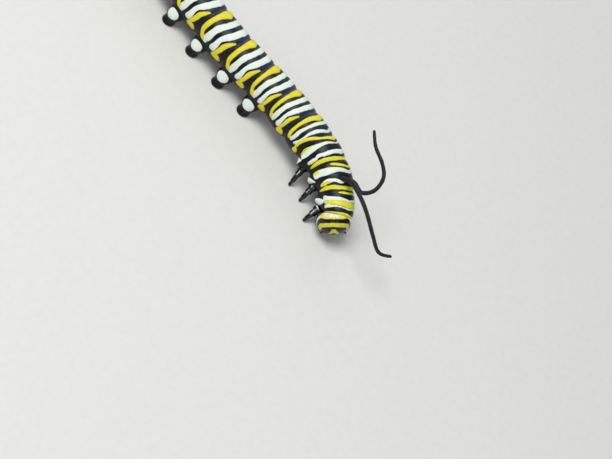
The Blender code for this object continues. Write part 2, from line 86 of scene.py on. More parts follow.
AXIS_STEP = 0.05
TANGENT_REACH = 0.2
BACK_RATIO = 0.98
BELLY_RATIO = 0.94
LEG_LOBE_HEIGHTS = (0.40, 0.50, 0.66)
LEG_LOBE = (116.0, 20.0, 0.60, 0.24)
SIDE_RIDGE_HEIGHT = 0.14
SIDE_RIDGE = (118.0, 20.0, 0.45, 0.36)
TAIL_PROFILE = (
    (0.00, 0.920), (0.08, 0.970), (0.25, 1.000), (0.45, 0.985), (0.62, 0.900), (0.76, 0.770), (0.87, 0.590),
    (0.95, 0.390), (1.00, 0.200),
)

# Where the folds of the skin lie along the body, in mm from the collar
FOLDS = (0.0, 2.60, 5.30, 7.75, 10.50, 13.62, 16.85, 20.42, 24.40, 28.40, 32.30, 35.55, 37.55, 39.95)

# Bands: colour, tint at the front edge and the rear edge, then angle from the back with front and rear shares
WHITE, YELLOW = "white", "yellow"
COMMON_BANDS = (
    (WHITE, 0.0, 0.1, ((0, .10, .29), (20, .135, .315), (40, .20, .385), (60, .305, .43), (80, .295, .445),
                       (95, .305, .475), (103, .34, .45))),
    (WHITE, 0.0, 0.8, ((0, .42, .59), (20, .445, .615), (40, .505, .69), (60, .545, .71), (80, .545, .73),
                       (95, .57, .75), (104, .60, .76))),
    (YELLOW, 0.5, 0.2, ((0, .68, .93), (20, .755, .925), (40, .795, .94), (60, .81, .95), (80, .805, .93),
                        (95, .70, .86), (104, .67, .80))),
    (YELLOW, 0.2, 0.5, ((33, .035, .075), (40, .05, .125), (60, .11, .25), (80, .14, .27), (95, .185, .30),
                        (102, .21, .30))),
    (YELLOW, 0.8, 0.5, ((98, .13, .30), (104, .08, .33), (111, .06, .35), (118, .08, .33), (122, .11, .30))),
)
BANDS = {
    0: (
        (YELLOW, 0.0, 0.0, ((-15, -.04, .065), (5, -.04, .05), (25, -.04, .03), (85, -.04, .025))),
        (WHITE, 0.5, 0.5, ((0, .21, .27), (20, .23, .29), (40, .21, .31), (60, .18, .33), (76, .15, .29))),
        (YELLOW, 0.0, 0.0, ((0, .28, .49), (20, .30, .49), (40, .32, .50), (60, .33, .49), (78, .37, .46))),
        (WHITE, 0.1, 0.0, ((0, .50, .59), (20, .50, .64), (40, .50, .655), (60, .50, .68), (72, .47, .72),
                           (80, .47, .70))),
        (YELLOW, 0.0, 0.0, ((0, .77, .845), (15, .775, .85), (27, .79, .845))),
        (YELLOW, 0.0, 0.0, ((0, .93, 1.06), (20, .94, 1.07), (40, .96, 1.11), (60, .955, 1.115),
                            (80, .94, 1.08), (95, .95, 1.03), (104, .965, 1.0))),
        (WHITE, 0.0, 0.0, ((78, .44, .52), (88, .38, .60), (100, .35, .66), (112, .37, .68), (124, .42, .76),
                           (136, .50, .80))),
    ),
    1: (
        (WHITE, 0.0, 0.0, ((8, .16, .21), (15, .14, .25), (22, .145, .26), (31, .18, .30), (40, .21, .33),
                           (50, .205, .345), (60, .20, .36), (70, .16, .32), (80, .13, .25), (87, .13, .20))),
        (YELLOW, 0.0, 0.0, ((48, .20, .24), (60, .165, .28), (75, .13, .24), (86, .12, .19))),
        (WHITE, 0.0, 0.7, ((0, .49, .61), (20, .53, .68), (40, .52, .74), (60, .50, .78), (80, .52, .82),
                           (92, .50, .80), (97, .52, .78))),
        (YELLOW, 0.0, 0.0, ((74, .74, .80), (82, .70, .82), (90, .65, .81), (96, .67, .78))),
        (YELLOW, 0.0, 0.0, ((0, .69, .77), (20, .74, .84), (35, .81, .885), (42, .845, .88))),
        (WHITE, 0.0, 0.0, ((100, .385, .44), (104, .39, .60), (110, .42, .72), (120, .46, .82),
                           (129, .52, .85))),
    ),
    2: (
        (YELLOW, 0.0, 0.0, ((0, -.065, .07), (20, -.05, .10), (40, 0.0, .14), (60, .01, .18), (80, .02, .165),
                            (95, .04, .13), (104, .06, .10))),
        (WHITE, 0.3, 0.0, ((0, .17, .34), (20, .21, .36), (40, .205, .375), (50, .25, .41), (60, .26, .41),
                           (68, .215, .35), (75, .215, .375), (85, .21, .38), (93, .23, .37),
                           (98, .25, .34))),
        (YELLOW, 0.0, 0.0, ((72, .215, .25), (84, .205, .27), (93, .225, .27))),
        (WHITE, 0.0, 0.8, ((0, .575, .65), (20, .615, .74), (40, .62, .79), (60, .60, .87), (80, .59, .96),
                           (93, .61, .95), (100, .66, .92))),
        (YELLOW, 0.0, 0.0, ((55, .81, .86), (65, .82, .89), (80, .82, .97), (93, .80, .96), (100, .82, .93))),
        (WHITE, 0.0, 0.0, ((101, .60, .68), (107, .62, .82), (115, .64, .90), (126, .70, .95),
                           (138, .78, .95))),
    ),
    3: (
        (YELLOW, 0.0, 0.0, ((0, -.214, -.07), (20, -.116, -.005), (40, 0.0, .13), (60, .13, .27),
                            (80, .21, .33), (93, .22, .36), (98, .24, .34))),
        (WHITE, 0.0, 0.0, ((0, .08, .20), (20, .143, .30), (40, .22, .34), (50, .25, .34), (60, .275, .335),
                           (75, .32, .37), (85, .34, .44), (92, .37, .48), (97, .40, .46))),
        (WHITE, 0.0, 0.8, ((0, .41, .55), (20, .443, .58), (40, .49, .60), (60, .51, .66), (80, .51, .67),
                           (90, .56, .71), (97, .60, .70))),
        (YELLOW, 0.4, 0.1, ((0, .61, .83), (20, .686, .87), (40, .73, .87), (60, .75, .89), (80, .75, .89),
                            (92, .69, .86), (98, .72, .82))),
        (YELLOW, 0.8, 0.5, ((98, .18, .33), (106, .14, .36), (113, .15, .37), (120, .19, .34))),
    ),
    11: (
        (WHITE, 0.0, 0.3, ((0, .12, .30), (40, .14, .32), (80, .20, .38), (100, .24, .36))),
        (YELLOW, 0.3, 0.2, ((0, .55, .88), (40, .56, .86), (80, .55, .82), (98, .58, .76))),
    ),
    12: (
        (WHITE, 0.0, 0.5, ((0, .06, .17), (40, .07, .19), (75, .10, .24), (90, .13, .22))),
        (YELLOW, 0.4, 0.4, ((48, .28, .40), (62, .26, .58), (78, .28, .62), (90, .33, .52))),
    ),
}
for plain in (4, 5, 6, 7, 8, 9, 10):
    BANDS[plain] = COMMON_BANDS
TWIST_PLACES = (0.0, 6.0, 12.0, 40.0)
TWIST_ANGLES = (-15.0, -14.0, -8.0, -6.0)
DEGREE_MM = 0.037
CORNER_MM = 0.14

# Legs and feet: segment and share of its length, then for true legs the claw's reach to the side and forward,
# in mm; rings of a fleshy foot: distance from the middle line, height and radius, in mm; rings of a leg:
# share of its length, radius in mm and share of its root's height
PROLEGS = (("proleg_3", 5, 0.53), ("proleg_4", 6, 0.54), ("proleg_5", 7, 0.54), ("proleg_6", 8, 0.55))
PROLEG_RINGS = (
    (1.15, 2.10, 0.94), (1.45, 1.55, 0.93), (1.72, 1.05, 0.81), (1.90, 0.62, 0.64), (1.98, 0.36, 0.66),
    (2.02, 0.14, 0.68), (2.02, 0.00, 0.60),
)
PROLEG_SPLAY = 0.06
PROLEG_LONG = 1.06
ANAL_PLACE = ("proleg_10", 12, 0.52)
ANAL_RINGS = (
    (0.55, 1.90, 0.62), (0.74, 1.35, 0.64), (0.88, 0.85, 0.58), (0.96, 0.45, 0.50), (1.00, 0.16, 0.54),
    (1.00, 0.00, 0.47),
)
LEGS = (("leg_1", 0, 0.55, 2.60, 0.95), ("leg_2", 1, 0.60, 2.50, 0.75), ("leg_3", 2, 0.60, 2.90, 0.95))
LEG_ROOT_SIDE = 1.10
LEG_ROOT_DROP = 1.05
LEG_JOINTS = (0.33, 0.61, 0.86)
LEG_STATIONS = (
    (0.00, 0.60, 1.00), (0.30, 0.55, 0.78), (0.36, 0.45, 0.73), (0.58, 0.40, 0.55), (0.64, 0.32, 0.48),
    (0.82, 0.27, 0.25), (0.90, 0.20, 0.13), (1.00, 0.13, 0.00),
)

# Filaments: segment, share, angle from the back, root radius, and path by left, forward and up, in mm
FRONT_RIGHT_PATH = (
    (-0.05, -0.15, -0.60), (0.35, 0.80, 0.50), (0.50, 2.50, 0.87), (0.70, 4.60, 0.70), (1.08, 6.90, -0.12),
    (1.45, 8.45, -0.62), (2.86, 8.96, -0.63),
)
FRONT_LEFT_PATH = (
    (0.00, -0.10, -0.60), (-0.05, 0.95, 0.25), (0.30, 2.05, 0.28), (1.60, 2.10, 0.78), (2.75, 1.05, 1.40),
    (2.95, -0.35, 1.82), (2.72, -2.20, 2.12), (3.23, -4.06, 2.28),
)
REAR_LEFT_PATH = (
    (0.00, 0.10, -0.60), (0.10, -0.25, 0.45), (0.40, -1.20, 1.20), (0.85, -2.40, 1.70), (1.30, -3.70, 1.95),
)
REAR_RIGHT_PATH = tuple((-a, b, c) for a, b, c in REAR_LEFT_PATH)
FILAMENTS = (
    ("filament_front_right", 1, 0.36, 19.0, 0.52, FRONT_RIGHT_PATH),
    ("filament_front_left", 1, 0.36, -19.0, 0.52, FRONT_LEFT_PATH),
    ("filament_rear_right", 10, 0.42, 24.0, 0.36, REAR_RIGHT_PATH),
    ("filament_rear_left", 10, 0.42, -24.0, 0.36, REAR_LEFT_PATH),
)
FILAMENT_CONE = 0.10
FILAMENT_MIDDLE = 0.25
FILAMENT_TIP = 0.15
FILAMENT_TAPER_START = 0.85
FILAMENT_DOME = ((0.92, 0.38), (0.72, 0.70), (0.40, 0.92), (0.0, 1.0))

# Rings that close the skin: shares of the width at the collar; shares and setting in, in mm, at the tail
LIP_SHARES = (0.90, 0.75, 0.45, 0.0)
TAIL_RINGS = ((0.7, 0.03), (0.35, 0.05), (0.0, 0.055))

# Place along y from which the tail is drawn in, in mm, and by what share
TAIL_DRAW = (21.9, 0.145)

# Reach of the smoothing where feet join the body, in mm; folds above a sole: height, depth share, reach
JOIN_REACH = 0.25
FOOT_FOLDS = ((0.52, 0.05, 0.07), (0.9, 0.04, 0.09))

# Pale ovals over the feet: middle out, to the rear and up, half sizes along, up and out, in mm; then the
# shares of size, reach and height for the anal feet
SPOT = (2.05, 0.06, 1.42)
SPOT_HALF = (0.70, 0.56, 0.90)
ANAL_SPOT = (0.62, 0.66, 0.85)

# Along the body, in mm: painted blue-grey sheen on the black back, and how warm the yellow is; the sheen's
# spread by angle
SHEEN_PAINT = ((0.0, 7.0, 12.0, 37.0, 38.5), (0.30, 0.45, 0.9, 0.9, 0.0))
WARMTH = ((6.0, 14.0), (0.0, 0.07))
SHEEN_PAINT_SPREAD = 36.0

# Head capsule: half sizes, seat on the collar and turn, in mm and degrees
HEAD_HALF = np.array((1.70, 1.55, 1.38))
HEAD_FORWARD = 0.52
HEAD_DROP = 0.05
HEAD_SIDE = 0.28
HEAD_TURN = 14.0
HEAD_NOD = 8.0
HEAD_ROLL = 18.0
COLLAR_GAP = 0.15

# Mouthparts and feelers: direction on the head's ball, then shares of the length with radii in mm
FEELER_SPOT = (0.52, -0.66, 0.66)
FEELER_PROFILE = (
    (0.0, 0.0), (0.0, 0.24), (0.42, 0.235), (0.46, 0.20), (0.49, 0.165), (0.52, 0.165), (0.66, 0.16),
    (0.70, 0.13), (0.72, 0.10), (0.75, 0.10), (0.90, 0.085), (0.97, 0.06), (1.0, 0.0),
)
JAW_SPOT = (0.20, -0.93, 0.42)
JAW_PROFILE = (
    (0.0, 0.0), (0.0, 0.29), (0.3, 0.30), (0.55, 0.28), (0.75, 0.25), (0.88, 0.20), (0.96, 0.13), (1.0, 0.0),
)
UPPER_LIP_SPOT = (0.0, -0.72, 0.78)
LOWER_LIP_SPOT = (0.0, -1.0, -0.10)
LOWER_LIP_PROFILE = (
    (0.0, 0.0), (0.0, 0.41), (0.30, 0.41), (0.45, 0.37), (0.60, 0.33), (0.74, 0.30), (0.80, 0.24),
    (0.86, 0.16), (0.93, 0.12), (1.0, 0.0),
)

# Eyes: an arc of domes on the cheek, by angle, with middle and reach of height and depth on the head's ball
EYE_COUNT = 6
EYE_ANGLES = (-70.0, 80.0)
EYE_SIDE = 0.78
EYE_HEIGHT = (-0.20, 0.231)
EYE_DEPTH = (0.52, 0.315)
EYE_RADIUS = 0.10

# Bristles: places on each segment, and rows of foot and leg rings with how many stand on each
HAIR_SEED = 7
HAIR_SHARES = (0.22, 0.47, 0.74)
HAIR_ANGLES = (14, 36, 58, 78, 94, 108, 122, 140)
FOOT_HAIRS = ((9, 10), (14, 10), (19, 8))
LEG_HAIRS = (14, 22, 27, 33, 37)
HOOK_LENGTH = 0.13
HOOK_RADIUS = 0.028

# Breathing holes: segment and share, angle from the back, half sizes along, across and out, in mm
HOLE_PLACES = ((0, 0.78),) + tuple((index, 0.40) for index in range(3, 11))
HOLE_ANGLE = 97.0
HOLE_HALF = (0.085, 0.14, 0.12)

# Stage, in metres: the floor, and each lamp's name, place, share of the key's power, and size
FLOOR_SIZE = 1.2
LAMPS = (
    ("key", (-0.09, 0.09, 0.27), 1.0, 0.18),
    ("fill", (-0.22, -0.16, 0.16), 0.30, 0.22),
    ("back", (0.22, 0.12, 0.16), 0.20, 0.16),
)
LAMP_TARGET = Vector((0, -0.004, 0.002))

# Camera of the photo: its axes, what it looks at and where it stands, in mm
CAMERA_RIGHT = Vector((0.59290262, -0.6240825, 0.50890817))
CAMERA_UP = Vector((0.35441192, 0.76970175, 0.53099097))
CAMERA_BACK = Vector((-0.72308968, -0.13446281, 0.67754046))
CAMERA_TARGET = Vector((1.02, -6.35, 3.0))
CAMERA_PLACE = CAMERA_TARGET + CAMERA_RIGHT * 0.6 - CAMERA_UP * 10.45 + CAMERA_BACK * 250.0
CAMERA_SENSOR = 36.0
CAMERA_LENS = 147.06


def linear(code):
    """Linear red, green and blue of an sRGB hex colour."""
    parts = [int(code[i:i + 2], 16) / 255 for i in (1, 3, 5)]
    return tuple(c / 12.92 if c <= 0.04045 else ((c + 0.055) / 1.055) ** 2.4 for c in parts)


def unit(vectors):
    """Vectors brought to length one."""
    return vectors / np.linalg.norm(vectors, axis=-1, keepdims=True)


def circle(sides):
    """Cosines and sines of equal turns round a circle."""
    turns = np.arange(sides) / sides * 2 * math.pi
    return np.cos(turns), np.sin(turns)


def smooth_curve(xs, ys, x):
    """Cubic curve through points, with central slopes, running on straight past both ends."""
    xs, ys, x = np.asarray(xs, float), np.asarray(ys, float), np.asarray(x, float)
    before = np.concatenate(([0], np.arange(len(xs) - 1)))
    after = np.concatenate((np.arange(1, len(xs)), [len(xs) - 1]))
    slopes = (ys[after] - ys[before]) / (xs[after] - xs[before])
    i = np.clip(np.searchsorted(xs, x, side="right") - 1, 0, len(xs) - 2)
    span = xs[i + 1] - xs[i]
    t = (x - xs[i]) / span
    low = ys[i] * (1 + 2 * t) * (1 - t) ** 2 + slopes[i] * span * t * (1 - t) ** 2
    high = ys[i + 1] * t * t * (3 - 2 * t) + slopes[i + 1] * span * t * t * (t - 1)
    past_start = ys[0] + slopes[0] * (x - xs[0])
    past_end = ys[-1] + slopes[-1] * (x - xs[-1])
    return np.where(x < xs[0], past_start, np.where(x > xs[-1], past_end, low + high))


def along(column, s):
    """A column of the segments' table, smooth along the body."""
    middles = [start + row[LENGTH] / 2 for start, row in zip(STARTS, SEGMENTS)]
    return smooth_curve(middles, [row[column] for row in SEGMENTS], s)


def heading(s):
    """Direction of the body seen from above."""
    yaw = np.radians(along(YAW, s))
    return np.stack((-np.sin(yaw), -np.cos(yaw)), axis=-1)


def walk_axis():
    """The axis seen from above, one point for each step of arc, with a straight run ahead of the collar."""
    middles = (np.arange(int(BODY_LENGTH / AXIS_STEP) + 2) + 0.5) * AXIS_STEP
    walked = np.cumsum(heading(middles), axis=0) * AXIS_STEP
    points = np.vstack((FRONT + heading(0.0) * 3.0, FRONT, FRONT - walked))
    places = np.concatenate(([-3.0, 0.0], middles + AXIS_STEP / 2))
    return places, points


AXIS_PLACES, AXIS_POINTS = walk_axis()


def axis_points(s):
    """Points of the body's axis at arc positions s, in mm."""
    x = np.interp(s, AXIS_PLACES, AXIS_POINTS[:, 0])
    y = np.interp(s, AXIS_PLACES, AXIS_POINTS[:, 1])
    return np.stack((x, y, along(HEIGHT, s)), axis=-1)


def body_frames(s):
    """Centre of the body, and its right, up and forward directions, at arc positions s, in mm."""
    s = np.asarray(s, float)
    forward = unit(axis_points(s - TANGENT_REACH) - axis_points(s + TANGENT_REACH))
    right = unit(np.cross(forward, (0.0, 0.0, 1.0)))
    up = np.cross(right, forward)
    nod = -np.radians(along(NOD, s))[..., None]
    forward, up = forward * np.cos(nod) + up * np.sin(nod), up * np.cos(nod) - forward * np.sin(nod)
    roll = np.radians(along(ROLL, s))[..., None]
    right, up = right * np.cos(roll) - up * np.sin(roll), up * np.cos(roll) + right * np.sin(roll)
    return axis_points(s), right, up, forward


def place_on(index, share):
    """Arc position at a share of a segment's length, in mm."""
    return STARTS[index] + share * SEGMENTS[index][LENGTH]


def side_swelling(s, degrees):
    """Height of the lobes over the true legs and of the abdomen's side ridge."""
    total = np.zeros_like(s)
    for index, row in enumerate(SEGMENTS[:-1]):
        legged = index < len(LEG_LOBE_HEIGHTS)
        height = LEG_LOBE_HEIGHTS[index] if legged else SIDE_RIDGE_HEIGHT
        middle_angle, spread, middle, reach = LEG_LOBE if legged else SIDE_RIDGE
        run = (s - place_on(index, middle)) / (reach * row[LENGTH])
        side = (np.abs(degrees) - middle_angle) / spread
        total += height * np.exp(-side * side - run * run)
    return total


def girth(s):
    """Half width of the body with its folds, in mm."""
    half = along(HALF_WIDTH, s)
    for fold in FOLDS[:-1]:
        away = np.abs(s - fold)
        half = half * (1 - 0.050 * np.exp(-(away / 0.20) ** 2) - 0.030 * np.exp(-(away / 0.55) ** 2))
    tail_share = (s - STARTS[-2]) / SEGMENTS[-1][LENGTH]
    tail = smooth_curve(*zip(*TAIL_PROFILE), np.clip(tail_share, 0, 1))
    return np.where(tail_share > 0.1, along(HALF_WIDTH, s) * tail, half)


def smooth_least(a, b, reach):
    """The smaller of two distances, rounded where they are close."""
    h = np.clip(0.5 + 0.5 * (b - a) / reach, 0, 1)
    return b * (1 - h) + a * h - reach * h * (1 - h)


def pattern_angle(s, degrees):
    """Angle from the back's middle line as the pattern sees it, on a thorax twisted a little in its skin."""
    middle = np.interp(s, TWIST_PLACES, TWIST_ANGLES)
    left = middle + (180 - middle) * (middle - degrees) / (180 + middle)
    return np.where(degrees >= middle, degrees, left)


def band_fields(s, degrees):
    """Distance in mm inside the white and the yellow bands, and how far each is tinted."""
    angle = pattern_angle(s, degrees)
    fields = {WHITE: np.full_like(s, -1.0), YELLOW: np.full_like(s, -1.0)}
    tints = {WHITE: np.zeros_like(s), YELLOW: np.zeros_like(s)}
    for index, bands in BANDS.items():
        start, length = FOLDS[index], FOLDS[index + 1] - FOLDS[index]
        for colour, front_tint, rear_tint, rows in bands:
            angles, fronts, rears = zip(*rows)
            held = np.clip(angle, angles[0] if angles[0] > 0 else -20, angles[-1])
            ahead = s - start - length * smooth_curve(angles, fronts, held)
            behind = start + length * smooth_curve(angles, rears, held) - s
            inside = smooth_least(ahead, behind, 0.04)
            inside = smooth_least(inside, (angles[-1] - angle) * DEGREE_MM, CORNER_MM)
            if angles[0] > 0:
                inside = smooth_least(inside, (angle - angles[0]) * DEGREE_MM, CORNER_MM)
            tint = front_tint * np.exp(-np.maximum(ahead, 0) / 0.09)
            tint = np.maximum(tint, rear_tint * np.exp(-np.maximum(behind, 0) / 0.10))
            nearer = inside > fields[colour]
            fields[colour] = np.where(nearer, inside, fields[colour])
            tints[colour] = np.where(nearer, tint, tints[colour])
    return fields, tints


def add_mesh_object(name, mesh):
    """A new object in the scene with a mesh."""
    made = bpy.data.objects.new(name, mesh)
    bpy.context.scene.collection.objects.link(made)
    return made


def only(item):
    """Makes a piece the only selected one, and the active one."""
    bpy.ops.object.select_all(action="DESELECT")
    item.select_set(True)
    bpy.context.view_layer.objects.active = item


def joined(name, items):
    """Pieces joined into one of a name, smooth."""
    only(items[0])
    for item in items:
        item.select_set(True)
    bpy.ops.object.join()
    made = bpy.context.object
    made.name = name
    bpy.ops.object.shade_smooth()
    return made


def tube(name, rings):
    """A closed skin over rings of points in mm: a grid wrapped round, welded and closed at both ends."""
    rings = np.asarray(rings, float)
    count, sides = rings.shape[:2]
    bpy.ops.object.select_all(action="DESELECT")
    bpy.ops.mesh.primitive_grid_add(x_subdivisions=sides, y_subdivisions=count - 1, size=1.0)
    made = bpy.context.object
    made.name = name
    made.data.name = name
    wrapped = np.concatenate((rings, rings[:, :1]), axis=1).reshape(-1, 3) * MM
    made.data.vertices.foreach_set("co", wrapped.ravel())
    bpy.ops.object.mode_set(mode="EDIT")
    bpy.ops.mesh.select_all(action="SELECT")
    bpy.ops.mesh.remove_doubles(threshold=1e-8)
    bpy.ops.mesh.select_all(action="DESELECT")
    bpy.ops.mesh.select_non_manifold()
    bpy.ops.mesh.fill_holes(sides=0)
    bpy.ops.mesh.select_all(action="SELECT")
    bpy.ops.mesh.normals_make_consistent(inside=False)
    bpy.ops.object.mode_set(mode="OBJECT")
    bpy.ops.object.shade_smooth()
    return made


def outwards(item):
    """Turns the faces of a closed shape outwards."""
    shape = bmesh.new()
    shape.from_mesh(item.data)
    bmesh.ops.recalc_face_normals(shape, faces=shape.faces)
    if shape.calc_volume(signed=True) < 0:
        bmesh.ops.reverse_faces(shape, faces=shape.faces)
    shape.to_mesh(item.data)
    shape.free()


def store(item, name, values):
    """Keeps one number for each point of a piece, for its material."""
    layer = item.data.attributes.get(name) or item.data.attributes.new(name, "FLOAT", "POINT")
    layer.data.foreach_set("value", np.asarray(values, np.float32).ravel())


def points_of(item):
    """A mesh's points, in mm."""
    flat = np.empty(len(item.data.vertices) * 3)
    item.data.vertices.foreach_get("co", flat)
    return flat.reshape(-1, 3) / MM


def set_points(item, points):
    """Moves a mesh's points to places in mm."""
    item.data.vertices.foreach_set("co", (np.asarray(points) * MM).ravel())
    item.data.update()


def finish_piece(item, slot, material, *nodes):
    """Turns a piece's faces out and ties it to its material, body and the nodes that it replaces; its slot is
    not used.
    """
    if not item.data.polygons:
        raise RuntimeError(item.name + " has no faces")
    outwards(item)
    item.data.materials.clear()
    item.data.materials.append(material)
    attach(item, "root")
    if nodes:
        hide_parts(*nodes)


def set_inputs(tree, node, inputs):
    """Sets or links inputs of a node."""
    for name, value in inputs.items():
        if isinstance(value, bpy.types.NodeSocket):
            tree.links.new(value, node.inputs[name])
        else:
            node.inputs[name].default_value = value


def add_node(tree, kind, settings, inputs, out=0):
    """Adds a node with its settings, sets or links its inputs, and gives one of its outputs."""
    made = tree.nodes.new(kind)
    for name, value in settings.items():
        setattr(made, name, value)
    set_inputs(tree, made, inputs)
    return made.outputs[out]


def new_material(name):
    """A new material with its shader and its Object coordinates."""
    made = bpy.data.materials.new(name)
    made.use_nodes = True
    tree = made.node_tree
    return made, tree, tree.nodes["Principled BSDF"], add_node(tree, "ShaderNodeTexCoord", {}, {}, "Object")


def per_mm(size):
    """Texture scale for a pattern of a size in mm."""
    return 1.0 / (size * MM)


def rgba(colour):
    """A colour with full cover, from linear parts or from an sRGB hex code."""
    return (*(linear(colour) if isinstance(colour, str) else colour), 1.0)


def mark(tree, name, shift, ramp):
    """Cover of a mark whose distance the mesh keeps, with its edge shifted by noise."""
    distance = add_node(tree, "ShaderNodeAttribute", {"attribute_name": name}, {}, "Fac")
    moved = add_node(tree, "ShaderNodeMath", {"operation": "ADD"}, {0: distance, 1: shift})
    return add_node(tree, "ShaderNodeMapRange", SMOOTH, {"Value": moved, "From Min": -ramp, "From Max": ramp})


def banded_skin_material(settings):
    """Living larval skin, soft and finely pebbled: wavy-edged pigment bands under a thin waxy cuticle."""
    made, tree, shader, coords = new_material("banded_larval_skin")
    cream_and_highlight, orange, painted_sheen = (add_node(tree, "ShaderNodeAttribute", {"attribute_name": name}, {}, "Fac")
                           for name in ("cream_and_highlight", "orange", "painted_sheen"))
    wave = add_node(tree, "ShaderNodeTexNoise", {}, {"Vector": coords, "Scale": per_mm(0.42)})
    wave = add_node(tree, "ShaderNodeMapRange", {}, {"Value": wave, "To Min": -0.055, "To Max": 0.055})
    frill = add_node(tree, "ShaderNodeTexNoise", {}, {"Vector": coords, "Scale": per_mm(0.11)})
    frill = add_node(tree, "ShaderNodeMapRange", {}, {"Value": frill, "To Min": -0.016, "To Max": 0.016})
    shift = add_node(tree, "ShaderNodeMath", {"operation": "ADD"}, {0: wave, 1: frill})
    mottle = add_node(tree, "ShaderNodeTexNoise", {},
                      {"Vector": coords, "Scale": per_mm(0.9), "Detail": 4.0, "Roughness": 0.6})
    mottle = add_node(tree, "ShaderNodeMapRange", {},
                      {"Value": mottle, "From Min": 0.30, "From Max": 0.70, "To Max": 0.30})
    # On the skin this attribute is the white bands' real yellowed edge; on the head the same attribute
    # carries a painted highlight
    pale = add_node(tree, "ShaderNodeMix", RGBA,
                    {0: cream_and_highlight, 6: rgba(settings.white), 7: rgba(settings.cream_and_highlight)}, 2)
    pale = add_node(tree, "ShaderNodeMix", RGBA, {0: mottle, 6: pale, 7: rgba("#C3D6C2")}, 2)
    warm = add_node(tree, "ShaderNodeMix", RGBA,
                    {0: orange, 6: rgba(settings.yellow), 7: rgba(settings.orange)}, 2)
    warm = add_node(tree, "ShaderNodeMix", RGBA, {0: mottle, 6: warm, 7: rgba("#B9B32A")}, 2)
    # Painted sheen: the black is lifted to blue-grey on the back and at its folds, a painted reflection of
    # the sky
    dark = add_node(tree, "ShaderNodeMix", RGBA,
                    {0: painted_sheen, 6: rgba(settings.black), 7: rgba(settings.painted_sheen)}, 2)
    white = mark(tree, "white", shift, 0.03)
    yellow = mark(tree, "yellow", shift, 0.03)
    colour = add_node(tree, "ShaderNodeMix", RGBA, {0: white, 6: dark, 7: pale}, 2)
    colour = add_node(tree, "ShaderNodeMix", RGBA, {0: yellow, 6: colour, 7: warm}, 2)
    crinkle = add_node(tree, "ShaderNodeTexNoise", {},
                       {"Vector": coords, "Scale": per_mm(0.25), "Detail": 4.0, "Roughness": 0.7})
    pebble = add_node(tree, "ShaderNodeTexVoronoi", {}, {"Vector": coords, "Scale": per_mm(0.09)})
    relief = add_node(tree, "ShaderNodeMix", {"data_type": "FLOAT"}, {0: 0.35, 2: crinkle, 3: pebble})
    gloss = add_node(tree, "ShaderNodeMapRange", {},
                     {"Value": crinkle, "From Min": 0.3, "From Max": 0.7, "To Min": 0.30, "To Max": 0.46})
    bump = add_node(tree, "ShaderNodeBump", {}, {"Height": relief, "Strength": 0.35, "Distance": 0.04 * MM})
    set_inputs(tree, shader, {
        "Base Color": colour, "Roughness": gloss, "Normal": bump, "IOR": 1.35,
        "Subsurface Weight": 0.08, "Subsurface Radius": (1.0, 0.7, 0.4), "Subsurface Scale": 0.3 * MM,
    })
    return made


def body_surface(s, degrees, lift):
    """Points of the skin at arc positions and angles from the back, raised by a lift in mm."""
    centre, right, up, _ = body_frames(s[:, 0])
    turn = np.radians(degrees)
    radius = girth(s) + side_swelling(s, degrees) + lift
    ratio = np.where(np.cos(turn) > 0, BACK_RATIO, BELLY_RATIO)
    across = (radius * np.sin(turn))[..., None] * right[:, None]
    upright = (radius * np.cos(turn) * ratio)[..., None] * up[:, None]
    return centre[:, None] + across + upright


def skin_grid(spacing, sides):
    """Arc positions of the skin's rings, and angles from the back round each ring."""
    count = int(BODY_LENGTH / spacing)
    places = np.linspace(0.0, BODY_LENGTH, count)
    turns = (np.arange(sides) / sides * 360.0 + 180.0 / sides) - 180.0
    return np.meshgrid(places, turns, indexing="ij")


def rise_on_back(degrees):
    """Depth of the creases, fainter on the back than along the sides."""
    return 0.4 + 0.6 * np.clip((np.abs(degrees) - 20) / 60, 0, 1)


def band_relief(s, degrees, puff_height, groove_depth):
    """Rise of the skin under the pale bands, the groove beside them and the creases of the black, in mm."""
    fields, _ = band_fields(s, degrees)
    pale = np.maximum(fields[WHITE], fields[YELLOW])
    rise = np.clip((pale + 0.06) / 0.26, 0, 1)
    puff = puff_height * rise * rise * (3 - 2 * rise)
    groove = groove_depth * np.exp(-((pale + 0.09) / 0.05) ** 2)
    plain = np.clip(-pale / 0.15 - 0.6, 0, 1)
    wave = np.sin(s * 19.0 + 0.5 * np.sin(np.radians(degrees) * 5))
    crease = groove_depth * 0.6 * plain * wave * rise_on_back(degrees)
    return puff - groove + crease


def body_tube(settings):
    """The body's skin, rolled in at the collar and closed at the tail, with each ring's place and angles."""
    s, degrees = skin_grid(settings.spacing / MM, settings.sides)
    relief = band_relief(s, degrees, settings.puff / MM, settings.groove / MM)
    points = body_surface(s, degrees, relief)
    centre, _, _, forward = body_frames(s[:1, 0])
    lip = [centre + (points[0] - centre) * share + forward * 0.10 * (1 + k)
           for k, share in enumerate(LIP_SHARES)]
    tail_centre = points[-1].mean(axis=0)
    _, _, _, tail_forward = body_frames(s[-1:, 0])
    tail = [tail_centre + (points[-1] - tail_centre) * share - tail_forward * drop
            for share, drop in TAIL_RINGS]
    rings = np.concatenate((np.array(lip[::-1]), points, np.array(tail)))
    sides = s.shape[1]
    all_s = np.concatenate((np.full((len(lip), sides), 0.0), s, np.full((len(tail), sides), BODY_LENGTH)))
    all_degrees = np.repeat(degrees[:1], len(rings), 0)
    return tube("skin", rings), rings.reshape(-1, 3), all_s.ravel(), all_degrees.ravel()


def feet():
    """Name, segment, share, stations and side of every fleshy foot."""
    for name, index, share in PROLEGS + (ANAL_PLACE,):
        for side in (1, -1):
            yield name, index, share, ANAL_RINGS if index == ANAL_PLACE[1] else PROLEG_RINGS, side


def capped(rings):
    """Rings closed with a point at both ends."""
    ends = [np.repeat(ring.mean(axis=0)[None], len(ring), axis=0) for ring in (rings[0], rings[-1])]
    return [ends[0], *rings, ends[1]]


